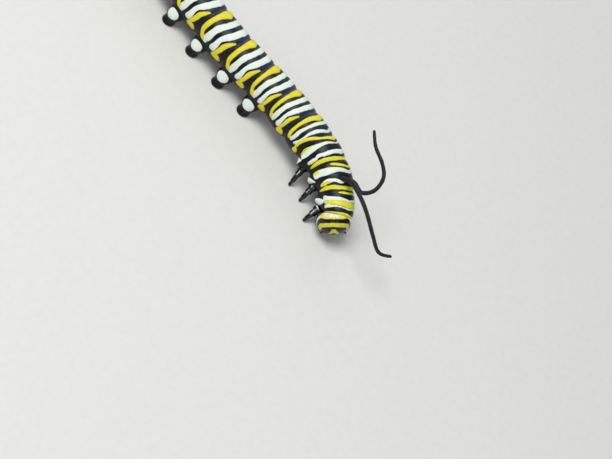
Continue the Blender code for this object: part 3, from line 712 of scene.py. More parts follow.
def level_frame(index, share):
    """The body frame at a place with its directions level with the floor."""
    centre, _, _, forward = (part[0] for part in body_frames(np.array([place_on(index, share)])))
    forward = unit(forward * (1.0, 1.0, 0.0))
    return centre, np.cross(forward, (0.0, 0.0, 1.0)), forward


def foot_rings(index, share, side, stations, sides=32, rows=30):
    """Level rings of a fleshy foot, smoothed between its stations, with soft folds above the sole."""
    centre, right, forward = level_frame(index, share)
    offsets, heights, radii = np.array(stations)[::-1].T
    across, ahead = circle(sides)
    rings = []
    for level in heights[-1] * np.linspace(0, 1, rows) ** 1.25:
        folded = sum(depth * math.exp(-((level - fold) / reach) ** 2) for fold, depth, reach in FOOT_FOLDS)
        radius = smooth_curve(heights, radii, level) * (1 - folded)
        offset = smooth_curve(heights, offsets, level)
        place = np.array((centre[0], centre[1], level)) + right * side * offset
        place = place - forward * PROLEG_SPLAY * (heights[-1] - level)
        rings.append(place + (np.outer(across, right) + np.outer(ahead, forward) * PROLEG_LONG) * radius)
    return capped(rings)


def add_foot_ovals(points, fields, tints):
    """Pale ovals over the fleshy feet, with no yellow or cream across them."""
    for _, index, share, _, side in feet():
        size, reach, height = ANAL_SPOT if index == ANAL_PLACE[1] else (1.0, 1.0, 1.0)
        centre, right, forward = level_frame(index, share)
        out = right * side
        middle = np.array((centre[0], centre[1], 0.0)) + out * SPOT[0] * reach - forward * SPOT[1]
        middle[2] = SPOT[2] * height
        half = np.array(SPOT_HALF) * size
        local = (points - middle) @ np.stack((forward, (0.0, 0.0, 1.0), out), axis=1) / half
        inside = (1 - np.linalg.norm(local, axis=1)) * half[0]
        fields[WHITE] = np.maximum(fields[WHITE], inside)
        fields[YELLOW] = np.where(inside > -0.05, -1.0, fields[YELLOW])
        tints[WHITE] = np.where(inside > -0.1, 0.0, tints[WHITE])


def unite(item, extras):
    """Joins closed shapes into one skin."""
    group = bpy.data.collections.new("joined_parts")
    bpy.context.scene.collection.children.link(group)
    for extra in extras:
        group.objects.link(extra)
    only(item)
    modifier = item.modifiers.new("union", "BOOLEAN")
    modifier.operation = "UNION"
    modifier.solver = "EXACT"
    modifier.operand_type = "COLLECTION"
    modifier.collection = group
    bpy.ops.object.modifier_apply(modifier=modifier.name)
    for extra in extras:
        bpy.data.objects.remove(extra, do_unlink=True)
    bpy.data.collections.remove(group)


def nearest(points, targets):
    """Index of the nearest target to each point, and how far it is."""
    tree = KDTree(len(targets))
    for i, target in enumerate(targets):
        tree.insert(target, i)
    tree.balance()
    found = [tree.find(point) for point in points]
    return np.array([row[1] for row in found]), np.array([row[2] for row in found])


def soften_joins(item, weights, rounds):
    """Rounds the skin where the feet grow out of the body."""
    group = item.vertex_groups.new(name="joins")
    for i in np.nonzero(weights > 0.01)[0]:
        group.add([int(i)], float(weights[i]), "REPLACE")
    only(item)
    modifier = item.modifiers.new("soft_joins", "SMOOTH")
    modifier.factor = 0.5
    modifier.iterations = rounds
    modifier.vertex_group = "joins"
    bpy.ops.object.modifier_apply(modifier=modifier.name)
    item.vertex_groups.clear()


def drawn_in(points):
    """Points with the end of the tail drawn in a little, which keeps it within the solids' length."""
    drawn = np.array(points, float)
    drawn[:, 1] -= np.maximum(drawn[:, 1] - TAIL_DRAW[0], 0) * TAIL_DRAW[1]
    return drawn


def make_skin(settings):
    """The body and its fleshy feet as one closed skin, with the bands' distances kept on its points."""
    item, grid_points, grid_s, grid_degrees = body_tube(settings)
    parts, foot_points = [], []
    for name, index, share, stations, side in feet():
        rings = foot_rings(index, share, side, stations)
        foot = tube(name, rings)
        outwards(foot)
        parts.append(foot)
        foot_points.append(np.array(rings).reshape(-1, 3))
    outwards(item)
    unite(item, parts)
    points = points_of(item)
    index, away = nearest(points, grid_points)
    s, degrees = grid_s[index], grid_degrees[index]
    _, from_foot = nearest(points, np.concatenate(foot_points))
    on_foot = np.clip((away - 0.02) / 0.06, 0, 1)
    near_join = np.exp(-(away / JOIN_REACH) ** 2) * np.exp(-(from_foot / JOIN_REACH) ** 2)
    soften_joins(item, near_join, 8)
    points = drawn_in(points_of(item))
    set_points(item, points)
    fields, tints = band_fields(s, degrees)
    for colour in fields:
        fields[colour] = fields[colour] * (1 - on_foot) - on_foot
    add_foot_ovals(points, fields, tints)
    # Painted sheen: a blue-grey painted reflection of the sky along the back, strongest at the folds and none
    # on the feet
    from_middle = (degrees - np.interp(s, TWIST_PLACES, TWIST_ANGLES)) / SHEEN_PAINT_SPREAD
    from_fold = np.min(np.abs(s[:, None] - np.array(FOLDS)), axis=1)
    painted_sheen = np.exp(-from_middle ** 2) * np.interp(s, *SHEEN_PAINT) * (1 - on_foot)
    store(item, "white", fields[WHITE])
    store(item, "yellow", fields[YELLOW])
    store(item, "cream_and_highlight", np.clip(tints[WHITE], 0, 1))
    store(item, "orange", np.clip(tints[YELLOW] + np.interp(s, *WARMTH), 0, 1))
    store(item, "painted_sheen", painted_sheen * (0.25 + 0.75 * np.exp(-(from_fold / 0.45) ** 2)))
    flesh = [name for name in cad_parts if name.startswith(("thorax", "abdomen", "proleg"))]
    if not flesh:
        raise RuntimeError("the frame has no nodes of flesh")
    finish_piece(item, "banded_skin", banded_skin_material(settings), *flesh)


def shell_material(name, colour, settings, streaks=False):
    """Hard insect shell, tanned nearly black: glossy, with fine pits and clouds of a paler tan."""
    made, tree, shader, coords = new_material(name)
    cloud = add_node(tree, "ShaderNodeTexNoise", {},
                     {"Vector": coords, "Scale": per_mm(0.35), "Detail": 5.0, "Roughness": 0.6})
    pits = add_node(tree, "ShaderNodeTexVoronoi", {}, {"Vector": coords, "Scale": per_mm(0.06)})
    tone = add_node(tree, "ShaderNodeMapRange", {},
                    {"Value": cloud, "From Min": 0.35, "From Max": 0.70, "To Max": 0.5})
    lighter = tuple(min(1.0, c * 1.8 + 0.001) for c in colour)
    base = add_node(tree, "ShaderNodeMix", RGBA, {0: tone, 6: rgba(colour), 7: rgba(lighter)}, 2)
    if streaks:
        ragged = add_node(tree, "ShaderNodeMapRange", {}, {"Value": cloud, "To Min": -0.05, "To Max": 0.05})
        # Painted highlight: on the head, a pinkish-cream painted reflection mixed into the yellow rear arch
        cream_and_highlight = add_node(tree, "ShaderNodeAttribute", {"attribute_name": "cream_and_highlight"}, {}, "Fac")
        warm = add_node(tree, "ShaderNodeMix", RGBA,
                        {0: cream_and_highlight, 6: rgba(settings.head_yellow), 7: rgba("#E2D9C8")}, 2)
        yellow = mark(tree, "yellow", ragged, 0.02)
        base = add_node(tree, "ShaderNodeMix", RGBA, {0: yellow, 6: base, 7: warm}, 2)
        white = mark(tree, "white", ragged, 0.02)
        base = add_node(tree, "ShaderNodeMix", RGBA, {0: white, 6: base, 7: rgba(settings.white)}, 2)
    gloss = add_node(tree, "ShaderNodeMapRange", {},
                     {"Value": cloud, "From Min": 0.3, "From Max": 0.7, "To Min": 0.12, "To Max": 0.24})
    bump = add_node(tree, "ShaderNodeBump", {}, {"Height": pits, "Strength": 0.25, "Distance": 0.01 * MM})
    set_inputs(tree, shader, {"Base Color": base, "Roughness": gloss, "Normal": bump, "IOR": 1.48})
    return made


def two_tone_material(name, size, first, second, roughness, detail=2.0):
    """A material of two tones in a cloudy noise of a size in mm."""
    made, tree, shader, coords = new_material(name)
    cloud = add_node(tree, "ShaderNodeTexNoise", {},
                     {"Vector": coords, "Scale": per_mm(size), "Detail": detail})
    tone = add_node(tree, "ShaderNodeMix", RGBA, {0: cloud, 6: rgba(first), 7: rgba(second)}, 2)
    set_inputs(tree, shader, {"Base Color": tone, "Roughness": roughness})
    return made


def turned(vector, axis, degrees):
    """A vector turned about an axis."""
    angle = math.radians(degrees)
    upright = axis * (axis @ vector)
    return upright + (vector - upright) * math.cos(angle) + np.cross(axis, vector) * math.sin(angle)


def head_frame():
    """Centre of the head capsule, and its right, up and forward directions."""
    centre, right, up, forward = (part[0] for part in body_frames(np.array([0.0])))
    seat = centre + forward * HEAD_FORWARD + right * HEAD_SIDE - up * HEAD_DROP
    axes = []
    for axis in (right, up, forward):
        rolled = turned(axis, forward, HEAD_ROLL)
        nodded = turned(rolled, right, -HEAD_NOD)
        axes.append(turned(nodded, up, HEAD_TURN))
    return seat, *axes


def head_points(shares, margin=0.0):
    """Points on the head's ellipsoid in directions given by side, up and forward shares, in mm."""
    seat, right, up, forward = head_frame()
    shares = unit(np.atleast_2d(np.asarray(shares, float)))
    half = HEAD_HALF + margin
    basis = np.stack((right, up, forward))
    return seat + (shares * half) @ basis


def head_marks(side, height, depth):
    """How far inside the white and the yellow marks each point of the head's unit ball is, and the strength
    of the painted highlight there.
    """
    across = np.abs(side)
    rear_line = -0.36 + 1.05 * np.clip(0.66 - height, 0, 1) ** 1.15
    rear_width = 0.255 - 0.13 * np.clip((across - 0.55) / 0.35, 0, 1)
    rear = smooth_least(rear_width - np.abs(depth - rear_line), height + 0.12, 0.08)
    arch_line = 0.325 + 0.05 * side ** 2 + 0.60 * np.clip(0.58 - height, 0, 1) ** 1.15
    arch_width = 0.145 - 0.05 * np.clip((0.6 - height) / 0.6, 0, 1)
    arch = smooth_least(arch_width - np.abs(depth - arch_line), height + 0.10, 0.06)
    spread = 0.50 * np.clip(0.70 - height, 0, 0.8) ** 0.9
    chevron_width = 0.050 + 0.070 * np.clip((height - 0.15) / 0.4, 0, 1)
    front = smooth_least(chevron_width - np.abs(across - spread) * 0.9, height + 0.36, 0.05)
    front = np.where(depth > 0.3, smooth_least(front, 0.78 - height, 0.05), -1.0)
    lip = smooth_least(0.04 - np.abs(height + 0.50), 0.44 - across, 0.05)
    lip = np.where(depth > 0.3, lip, -1.0)
    white = np.maximum(smooth_least(rear, across - 0.80, 0.15), lip)
    yellow = np.maximum(np.maximum(rear, arch), front)
    # Painted highlight: a pinkish-cream painted reflection of the sky on the upper middle of the head's rear
    behind, inner = np.clip((-0.16 - depth) / 0.16, 0, 1), np.clip((0.72 - across) / 0.25, 0, 1)
    return white, yellow, behind * inner * np.clip(height * 4, 0, 1)


def unit_ball(name, segments, rings):
    """A sphere of radius one, named and smooth, and its points."""
    bpy.ops.object.select_all(action="DESELECT")
    bpy.ops.mesh.primitive_uv_sphere_add(segments=segments, ring_count=rings, radius=1.0)
    item = bpy.context.object
    item.name = name
    bpy.ops.object.shade_smooth()
    return item, points_of(item) * MM


def make_head(settings):
    """Head capsule: full cheeks, a crown groove that forks round the face, yellow arches, pale cheeks."""
    item, ball = unit_ball("head_capsule", 128, 80)
    side, height, depth = ball.T
    across = np.abs(side)
    cheek = 0.05 * np.exp(-((across - 0.75) / 0.30) ** 2 - ((height + 0.25) / 0.45) ** 2)
    crown = 0.05 * np.exp(-(side / 0.10) ** 2) * np.clip(height, 0, 1) * np.clip((0.62 - depth) / 0.2, 0, 1)
    fork = np.abs(across - np.clip(0.62 - height, 0, 0.9) * 0.62)
    fork_groove = 0.018 * np.exp(-(fork / 0.035) ** 2) * np.clip((depth - 0.35) / 0.2, 0, 1)
    face = 0.02 * np.exp(-(across / 0.30) ** 2 - ((height - 0.05) / 0.4) ** 2) * np.clip(depth, 0, 1)
    grow = 1.0 + cheek - crown - fork_groove + face
    seat, *axes = head_frame()
    points = seat + ball * grow[:, None] * HEAD_HALF @ np.stack(axes)
    collar, _, _, collar_forward = (part[0] for part in body_frames(np.array([0.0])))
    behind = (points - collar) @ collar_forward - COLLAR_GAP
    set_points(item, points - np.minimum(behind, 0)[:, None] * collar_forward)
    white, yellow, cream_and_highlight = head_marks(side, height, depth)
    # Painted highlight on the upper rear of the capsule, pinkish cream
    store(item, "cream_and_highlight", cream_and_highlight)
    store(item, "yellow", yellow * 1.4)
    store(item, "white", white * 1.4)
    shell = shell_material("tanned_head_shell", settings.shell, settings, streaks=True)
    finish_piece(item, "head_capsule", shell, "head")


def peg_rings(base, end, profile, sides=20):
    """Rings along a straight peg, from a profile of shares of its length and radii in mm."""
    direction = unit(end - base)
    guide = unit(np.cross(direction, (0.0, 0.0, 1.0)))
    across, ahead = circle(sides)
    round_turn = np.outer(across, guide) + np.outer(ahead, np.cross(direction, guide))
    return [base + (end - base) * share + round_turn * radius for share, radius in profile]


def make_feeler(side, label, material):
    """A short feeler of three joints, with a pale ring round the first."""
    _, right, up, forward = head_frame()
    spot = np.array(FEELER_SPOT) * (side, 1, 1)
    base, end = head_points(spot, -0.26)[0], head_points(spot)[0]
    end = end + unit(right * side * 0.6 + up * 0.15 + forward * 0.6) * 0.66
    item = tube("feeler_" + label, peg_rings(base, end, FEELER_PROFILE))
    share = (points_of(item) - base) @ unit(end - base) / np.linalg.norm(end - base)
    store(item, "white", 0.05 - np.abs(share - 0.44) * 0.8)
    store(item, "yellow", np.full(len(share), -1.0))
    finish_piece(item, "head_capsule", material, "antenna_" + label)


def make_jaw(side, label, material):
    """A stout jaw, flattened from front to rear."""
    _, right, up, forward = head_frame()
    spot = np.array(JAW_SPOT) * (side, 1, 1)
    base, end = head_points(spot, -0.30)[0], head_points(spot)[0]
    end = end + unit(-up - right * side * 0.25 + forward * 0.1) * 0.62
    item = tube("jaw_" + label, peg_rings(base, end, JAW_PROFILE, 24))
    points = points_of(item)
    set_points(item, points - np.outer((points - (base + end) / 2) @ forward, forward) * 0.35)
    finish_piece(item, "mouthparts", material, "mandible_" + label)


def make_mouthparts(settings):
    """Feelers, jaws, a notched upper lip and a lower lip with its silk spout."""
    _, right, up, forward = head_frame()
    black = shell_material("tanned_mouth_shell", settings.mouth, settings)
    pale = shell_material("feeler_shell", settings.shell, settings, streaks=True)
    for side, label in SIDES:
        make_feeler(side, label, pale)
        make_jaw(side, label, black)
    item, ball = unit_ball("upper_lip", 48, 24)
    notch = 1 - 0.35 * np.exp(-(ball[:, 0] / 0.22) ** 2) * np.clip(-ball[:, 2], 0, 1)
    sized = np.stack((ball[:, 0] * 0.52, ball[:, 2] * 0.48 * notch, -ball[:, 1] * 0.42), axis=1)
    set_points(item, head_points(UPPER_LIP_SPOT)[0] + sized @ np.stack((right, up, forward)))
    finish_piece(item, "mouthparts", black, "labrum")
    base = head_points(LOWER_LIP_SPOT, -0.42)[0]
    end = head_points(LOWER_LIP_SPOT)[0] + unit(-up + forward * 0.35) * 0.60
    item = tube("lower_lip", peg_rings(base, end, LOWER_LIP_PROFILE, 28))
    finish_piece(item, "mouthparts", black, "labium")


def make_eyes(settings):
    """Six small clear domes on each cheek."""
    # Clear lens over dark pigment: wet and glassy
    lens = two_tone_material("clear_eye_lens", 0.05, "#050505", "#2A1C14", 0.06)
    lens.node_tree.nodes["Principled BSDF"].inputs["Coat Weight"].default_value = 1.0
    for side, label in SIDES:
        domes = []
        for angle in np.radians(np.linspace(*EYE_ANGLES, EYE_COUNT)):
            height = EYE_HEIGHT[0] + EYE_HEIGHT[1] * math.sin(angle)
            depth = EYE_DEPTH[0] - EYE_DEPTH[1] * math.cos(angle)
            centre = head_points((side * EYE_SIDE, height, depth))[0] * MM
            bpy.ops.object.select_all(action="DESELECT")
            bpy.ops.mesh.primitive_ico_sphere_add(subdivisions=3, radius=EYE_RADIUS * MM, location=centre)
            bpy.ops.object.transform_apply(location=True, rotation=True, scale=True)
            domes.append(bpy.context.object)
        finish_piece(joined("eyes_" + label, domes), "head_capsule", lens)


def leg_rings(index, share, side, reach, advance):
    """Rings of a jointed leg, pinched at each joint, from its thick root to its claw."""
    centre, right, forward = level_frame(index, share)
    root = centre + right * side * LEG_ROOT_SIDE - np.array((0, 0, LEG_ROOT_DROP))
    foot = np.array((centre[0], centre[1], 0.0)) + right * side * reach + forward * advance
    runs, radii, heights = zip(*LEG_STATIONS)
    across, ahead = circle(24)
    rings = []
    for run in np.linspace(0, 1, 44):
        radius = np.interp(run, runs, radii) * (1 - 0.16 * min(run / 0.4, 1.0))
        for joint in LEG_JOINTS:
            pinch = 0.16 * math.exp(-((run - joint) / 0.022) ** 2)
            radius *= 1 - pinch + 0.06 * math.exp(-((run - joint + 0.06) / 0.03) ** 2)
        if run > 0.93:
            radius = 0.16 * (1 - run) / 0.07 + 0.02
        place = root + (foot - root) * run
        place[2] = root[2] * smooth_curve(runs, heights, run) + 0.02 * run
        rings.append(place + np.outer(across, right) * radius + np.outer(ahead, forward) * radius)
    return capped(rings)


def leg_highlight_and_patch(points, rings, right, forward, side):
    """How far inside the painted highlight, a pale streak along the lit upper face, and the white root patch
    each point of a leg is.
    """
    start, end = rings[1].mean(axis=0), rings[-2].mean(axis=0)
    run = (points - start) @ (end - start) / ((end - start) @ (end - start))
    aside = points - (start + np.outer(run, end - start))
    outward = aside @ (right * side * 0.5 + np.array((0, 0, 1)) * 0.8)
    front = aside @ forward
    # Painted highlight: a thin pale streak along the leg's upper outer face, where the light falls; the root
    # patch is real white
    painted_highlight = np.minimum(outward - 0.05, np.minimum(run - 0.20, 0.60 - run) * 1.5)
    painted_highlight = np.minimum(0.058 - 0.045 * run - np.abs(front - 0.06), painted_highlight)
    for joint in LEG_JOINTS:
        painted_highlight = np.minimum(painted_highlight, np.abs(run - joint) * 1.6 - 0.06)
    patch = np.minimum(0.25 - np.abs(front), np.minimum(outward - 0.22, 0.20 - run))
    return np.maximum(painted_highlight, patch)


def make_legs(settings):
    """Six jointed legs with claws."""
    shell = shell_material("tanned_leg_shell", settings.shell, settings, streaks=True)
    for side, label in SIDES:
        for name, index, share, reach, advance in LEGS:
            rings = leg_rings(index, share, side, reach, advance)
            item = tube(name + "_shell_" + label, rings)
            points = points_of(item)
            _, right, forward = level_frame(index, share)
            store(item, "white", leg_highlight_and_patch(points, rings, right, forward, side))
            store(item, "yellow", np.full(len(points), -1.0))
            finish_piece(item, "leg_shell", shell, name + "_" + label)


def path_points(points, t):
    """Points of a smooth curve through the given ones, t from 0 to 1."""
    points = np.asarray(points, float)
    place = np.asarray(t) * (len(points) - 1)
    i = np.clip(place.astype(int), 0, len(points) - 2)
    u = (place - i)[:, None]
    before, start = points[np.maximum(i - 1, 0)], points[i]
    end, after = points[i + 1], points[np.minimum(i + 2, len(points) - 1)]
    return (
        start * 2 + (end - before) * u + (before * 2 - start * 5 + end * 4 - after) * u * u
        + (start * 3 - before - end * 3 + after) * u * u * u
    ) / 2


def filament_rings(index, share, angle, root_radius, path, rows=150, sides=20):
    """Rings of a filament: a cone at its root, slender along its path, with a rounded tip."""
    s = np.array([place_on(index, share)])
    centre, right, up, forward = (part[0] for part in body_frames(s))
    half = float(along(HALF_WIDTH, s)[0])
    turn = math.radians(angle)
    root = centre + right * half * math.sin(turn) + up * half * math.cos(turn)
    level_forward = unit(forward * (1.0, 1.0, 0.0))
    left = -np.cross(level_forward, (0.0, 0.0, 1.0))
    t = np.linspace(0, 1, rows)
    middle = path_points(root + np.array(path) @ np.stack((left, level_forward, (0.0, 0.0, 1.0))), t)
    ahead = unit(np.gradient(middle, axis=0))
    run = np.concatenate(([0.0], np.cumsum(np.linalg.norm(np.diff(middle, axis=0), axis=1))))
    whole = int(np.searchsorted(run, run[-1] - FILAMENT_TIP))
    rings, guide = [], right
    cosines, sines = circle(sides)
    for k in range(whole):
        guide = unit(guide - ahead[k] * (ahead[k] @ guide))
        across = np.cross(ahead[k], guide)
        cone = root_radius * math.exp(-t[k] / FILAMENT_CONE)
        taper = max(t[k] - FILAMENT_TAPER_START, 0.0) / (1 - FILAMENT_TAPER_START)
        slender = FILAMENT_MIDDLE * (1 - 0.30 * t[k]) + (FILAMENT_TIP - FILAMENT_MIDDLE * 0.7) * taper
        radius = (cone ** 4 + slender ** 4) ** 0.25
        radius *= 1 + 0.02 * math.sin(t[k] * 95) + 0.015 * math.sin(t[k] * 61 + 1)
        rings.append(middle[k] + (np.outer(cosines, guide) + np.outer(sines, across)) * radius)
    rim, stop, reach = rings[-1], middle[whole - 1], run[-1] - run[whole - 1]
    for share, step in FILAMENT_DOME:
        rings.append(stop + (rim - stop) * share + ahead[whole - 1] * reach * step)
    return rings


def filament_material(settings):
    """Fleshy filament skin: velvety near black, dusted with tiny spines that scatter a faint blue-grey."""
    made, tree, shader, coords = new_material("velvet_filament_skin")
    cloud = add_node(tree, "ShaderNodeTexNoise", {},
                     {"Vector": coords, "Scale": per_mm(0.5), "Detail": 5.0, "Roughness": 0.65})
    spines = add_node(tree, "ShaderNodeTexVoronoi", {}, {"Vector": coords, "Scale": per_mm(0.07)})
    tone = add_node(tree, "ShaderNodeMapRange", {}, {"Value": cloud, "From Min": 0.3, "From Max": 0.75})
    base = add_node(tree, "ShaderNodeMix", RGBA, {0: tone, 6: rgba(settings.black), 7: rgba("#171B20")}, 2)
    bump = add_node(tree, "ShaderNodeBump", {}, {"Height": spines, "Strength": 0.5, "Distance": 0.03 * MM})
    set_inputs(tree, shader, {
        "Base Color": base, "Normal": bump, "Roughness": 0.55, "IOR": 1.36,
        "Sheen Weight": 0.08, "Sheen Roughness": 0.5,
    })
    return made


def make_filaments(settings):
    """The front and the rear pair of filaments."""
    velvet = filament_material(settings)
    for name, *shape in FILAMENTS:
        finish_piece(tube(name + "_skin", filament_rings(*shape)), "filament_skin", velvet, name)


def cone_shape(sides, bend):
    """A thin cone of unit height and radius, cut across twice so that it can bend."""
    bpy.ops.object.select_all(action="DESELECT")
    bpy.ops.mesh.primitive_cone_add(vertices=sides, radius1=1.0, radius2=0.0, depth=1.0, location=(0, 0, 0.5))
    made = bpy.context.object
    bpy.ops.object.transform_apply(location=True, rotation=True, scale=True)
    bpy.ops.object.mode_set(mode="EDIT")
    for height in (0.40, 0.72):
        bpy.ops.mesh.select_all(action="SELECT")
        bpy.ops.mesh.bisect(plane_co=(0, 0, height), plane_no=(0, 0, 1))
    bpy.ops.object.mode_set(mode="OBJECT")
    points = points_of(made) * MM
    faces = [tuple(face.vertices) for face in made.data.polygons]
    bpy.data.objects.remove(made, do_unlink=True)
    return points, faces, bend


def body_hairs(dice):
    """Roots, axes, leans and lengths of the bristles on the body."""
    s, degrees = [], []
    for index, row in enumerate(SEGMENTS[:-1]):
        for share in HAIR_SHARES:
            for angle in HAIR_ANGLES:
                for side in (1, -1):
                    s.append(STARTS[index] + row[LENGTH] * (share + dice.normal(0, 0.03)))
                    degrees.append(side * (angle + dice.normal(0, 3.0)))
    roots, out = body_spots(s, degrees, -0.01)
    _, _, _, forward = body_frames(np.array(s))
    axes = unit(out + dice.normal(0, 0.15, out.shape))
    return roots, axes, forward, 0.10 + 0.10 * dice.random(len(s)) * np.clip(np.abs(degrees) / 90, 0.3, 1)


def head_hairs(dice):
    """Roots, axes, leans and lengths of the bristles on the head."""
    shares = unit(dice.normal(0, 1, (260, 3)) + (0.0, 0.0, 0.5))
    shares = shares[(shares[:, 2] > -0.1) & (shares[:, 1] > -0.85)]
    _, *axes = head_frame()
    out = unit((shares / HEAD_HALF) @ np.stack(axes))
    forward = np.repeat(axes[2][None], len(shares), axis=0)
    return head_points(shares, -0.01), out, forward, 0.10 + 0.16 * dice.random(len(shares))


def ring_hairs(dice, ring, count, droop, least, spread):
    """Roots, axes, leans and lengths of bristles that stand out from a ring."""
    picked = ring[dice.choice(len(ring), count, replace=False)]
    axes = unit(picked - ring.mean(axis=0) + np.array((0, 0, -droop)))
    down = np.repeat(np.array((0.0, 0.0, -1.0))[None], count, axis=0)
    return picked, axes, down, least + spread * dice.random(count)


def scatter(name, shape, roots, axes, leans, lengths, radii):
    """One mesh of many copies of a shape: each stands on its root along its axis, bent towards its lean."""
    template, faces, bend = shape
    points, corners = [], []
    for root, axis, lean, length, radius in zip(roots, axes, leans, lengths, radii):
        across = unit(lean - axis * (lean @ axis))
        other = np.cross(axis, across)
        rise = template[:, 2]
        place = root + np.outer(rise * length, axis) + np.outer(bend * length * rise * rise, across)
        place = place + np.outer(template[:, 0] * radius, across) + np.outer(template[:, 1] * radius, other)
        start = len(points) * len(template)
        points.append(place)
        corners.extend(tuple(start + i for i in face) for face in faces)
    mesh = bpy.data.meshes.new(name)
    mesh.from_pydata((np.concatenate(points) * MM).tolist(), [], corners)
    mesh.validate()
    made = add_mesh_object(name, mesh)
    only(made)
    bpy.ops.object.shade_smooth()
    outwards(made)
    return made


def body_spots(s, degrees, lift):
    """Points and outward directions on the skin."""
    s, degrees = np.asarray(s, float)[:, None], np.asarray(degrees, float)[:, None]
    places = body_surface(s, degrees, np.full_like(s, lift))[:, 0]
    _, right, up, _ = body_frames(s[:, 0])
    turn = np.radians(degrees)
    return places, unit(right * np.sin(turn) + up * np.cos(turn))


def make_hairs(settings):
    """Sparse bristles on the body, the head, the legs and the feet, inside the solids' box."""
    dice = np.random.default_rng(HAIR_SEED)
    tufts = [body_hairs(dice), head_hairs(dice)]
    for _, index, share, stations, side in feet():
        rings = foot_rings(index, share, side, stations)
        tufts += [ring_hairs(dice, rings[row], count, 0.15, 0.14, 0.14) for row, count in FOOT_HAIRS]
    for _, index, share, reach, advance in LEGS:
        for side in (1, -1):
            rings = leg_rings(index, share, side, reach, advance)
            tufts += [ring_hairs(dice, rings[row], 5, 0.05, 0.12, 0.12) for row in LEG_HAIRS]
    roots, axes, leans, lengths = (np.concatenate(column) for column in zip(*tufts))
    roots = drawn_in(roots)
    low, high = np.array(CAD_BOX) / MM
    tips = roots + axes * lengths[:, None]
    kept = np.all((tips > low + 0.03) & (tips < high - 0.03), axis=1)
    roots, axes, leans, lengths = roots[kept], axes[kept], leans[kept], lengths[kept]
    item = scatter("bristles", cone_shape(4, 0.35), roots, axes, leans, lengths, 0.006 + 0.03 * lengths)
    # Stiff bristle: brown-black, paler in places, with a dull gloss
    bristle = two_tone_material("dark_bristle", 0.2, "#0E0C0B", "#4A4038", 0.35)
    finish_piece(item, "banded_skin", bristle)


def make_sole_hooks(settings):
    """Rows of tiny hooks round the inner half of each sole."""
    roots, axes, leans = [], [], []
    for _, index, share, stations, side in feet():
        ring = foot_rings(index, share, side, stations)[2]
        middle = ring.mean(axis=0)
        _, right, _ = level_frame(index, share)
        for point in ring:
            out = unit(point - middle)
            if out @ (right * -side) > -0.2:
                roots.append(middle + (point - middle) * 0.97 + np.array((0, 0, 0.10)))
                axes.append(unit(out * 0.8 + np.array((0, 0, -0.35))))
                leans.append(-out + np.array((0, 0, -0.4)))
    lengths, radii = np.full(len(roots), HOOK_LENGTH), np.full(len(roots), HOOK_RADIUS)
    item = scatter("sole_hooks", cone_shape(6, 0.9), roots, axes, leans, lengths, radii)
    points = points_of(item)
    points[:, 2] = np.maximum(points[:, 2], 0.0)
    set_points(item, points)
    # Tanned hook: glossy amber brown
    finish_piece(item, "proleg_skin", two_tone_material("amber_hook", 0.1, "#3A2414", "#7A4E26", 0.3))


def make_breathing_holes(settings):
    """Oval rims on the sides of the first thorax segment and of the abdomen's."""
    s = [place_on(index, share) for index, share in HOLE_PLACES for _ in (1, -1)]
    degrees = [side * HOLE_ANGLE for _ in HOLE_PLACES for side in (1, -1)]
    roots, out = body_spots(s, degrees, 0.0)
    _, _, _, forward = body_frames(np.array(s))
    rims = []
    for root, axis, ahead in zip(roots, out, forward):
        bpy.ops.object.select_all(action="DESELECT")
        bpy.ops.mesh.primitive_torus_add(
            major_segments=28, minor_segments=10, major_radius=1.0, minor_radius=0.26)
        rim = bpy.context.object
        across = unit(ahead - axis * (ahead @ axis))
        ring = points_of(rim) * MM * HOLE_HALF
        set_points(rim, root + ring @ np.stack((across, np.cross(axis, across), axis)))
        rims.append(rim)
    rim_shell = shell_material("tanned_breathing_rim", linear("#15120F"), settings)
    finish_piece(joined("breathing_holes", rims), "banded_skin", rim_shell)


def make_stage(settings):
    """Pale floor, soft lights, and a camera at the photo's angle."""
    bpy.ops.object.select_all(action="DESELECT")
    bpy.ops.mesh.primitive_plane_add(size=FLOOR_SIZE, location=(0, 0, 0))
    floor = bpy.context.object
    floor.name = "floor"
    # Matt painted board: nearly white, with a faint grain
    floor.data.materials.append(two_tone_material("matt_white_board", 0.8, "#DAD9D4", "#E2E1DC", 0.9, 4.0))
    world = bpy.data.worlds.new("soft_studio")
    bpy.context.scene.world = world
    world.use_nodes = True
    background = world.node_tree.nodes["Background"]
    background.inputs["Color"].default_value = rgba("#DDE4EA")
    background.inputs["Strength"].default_value = settings.sky
    for name, place, share, size in LAMPS:
        light = bpy.data.lights.new(name, "AREA")
        light.energy = settings.key * share
        light.size = size
        lamp = bpy.data.objects.new(name, light)
        bpy.context.scene.collection.objects.link(lamp)
        lamp.location = place
        lamp.rotation_euler = (Vector(place) - LAMP_TARGET).to_track_quat("Z", "Y").to_euler()
    make_camera()


def make_camera():
    """The camera of the photo."""
    lens = bpy.data.cameras.new("camera")
    lens.sensor_width = CAMERA_SENSOR
    lens.lens = CAMERA_LENS
    lens.clip_start = 0.01
    camera = bpy.data.objects.new("camera", lens)
    bpy.context.scene.collection.objects.link(camera)
    columns = CAMERA_RIGHT, CAMERA_UP, CAMERA_BACK, CAMERA_PLACE * MM
    camera.matrix_world = Matrix([[*row] for row in zip(*columns)] + [[0.0, 0.0, 0.0, 1.0]])
    bpy.context.scene.camera = camera
    bpy.context.scene.view_settings.view_transform = "Standard"


def size_setting(name, description, size):
    """A setting for a small length, given in mm."""
    return FloatProperty(name=name, description=description, unit="LENGTH", precision=6, default=size * MM)


def colour_setting(name, description, code):
    """A setting for a colour, given as an sRGB hex code."""
    return FloatVectorProperty(name=name, description=description, subtype="COLOR", default=linear(code))


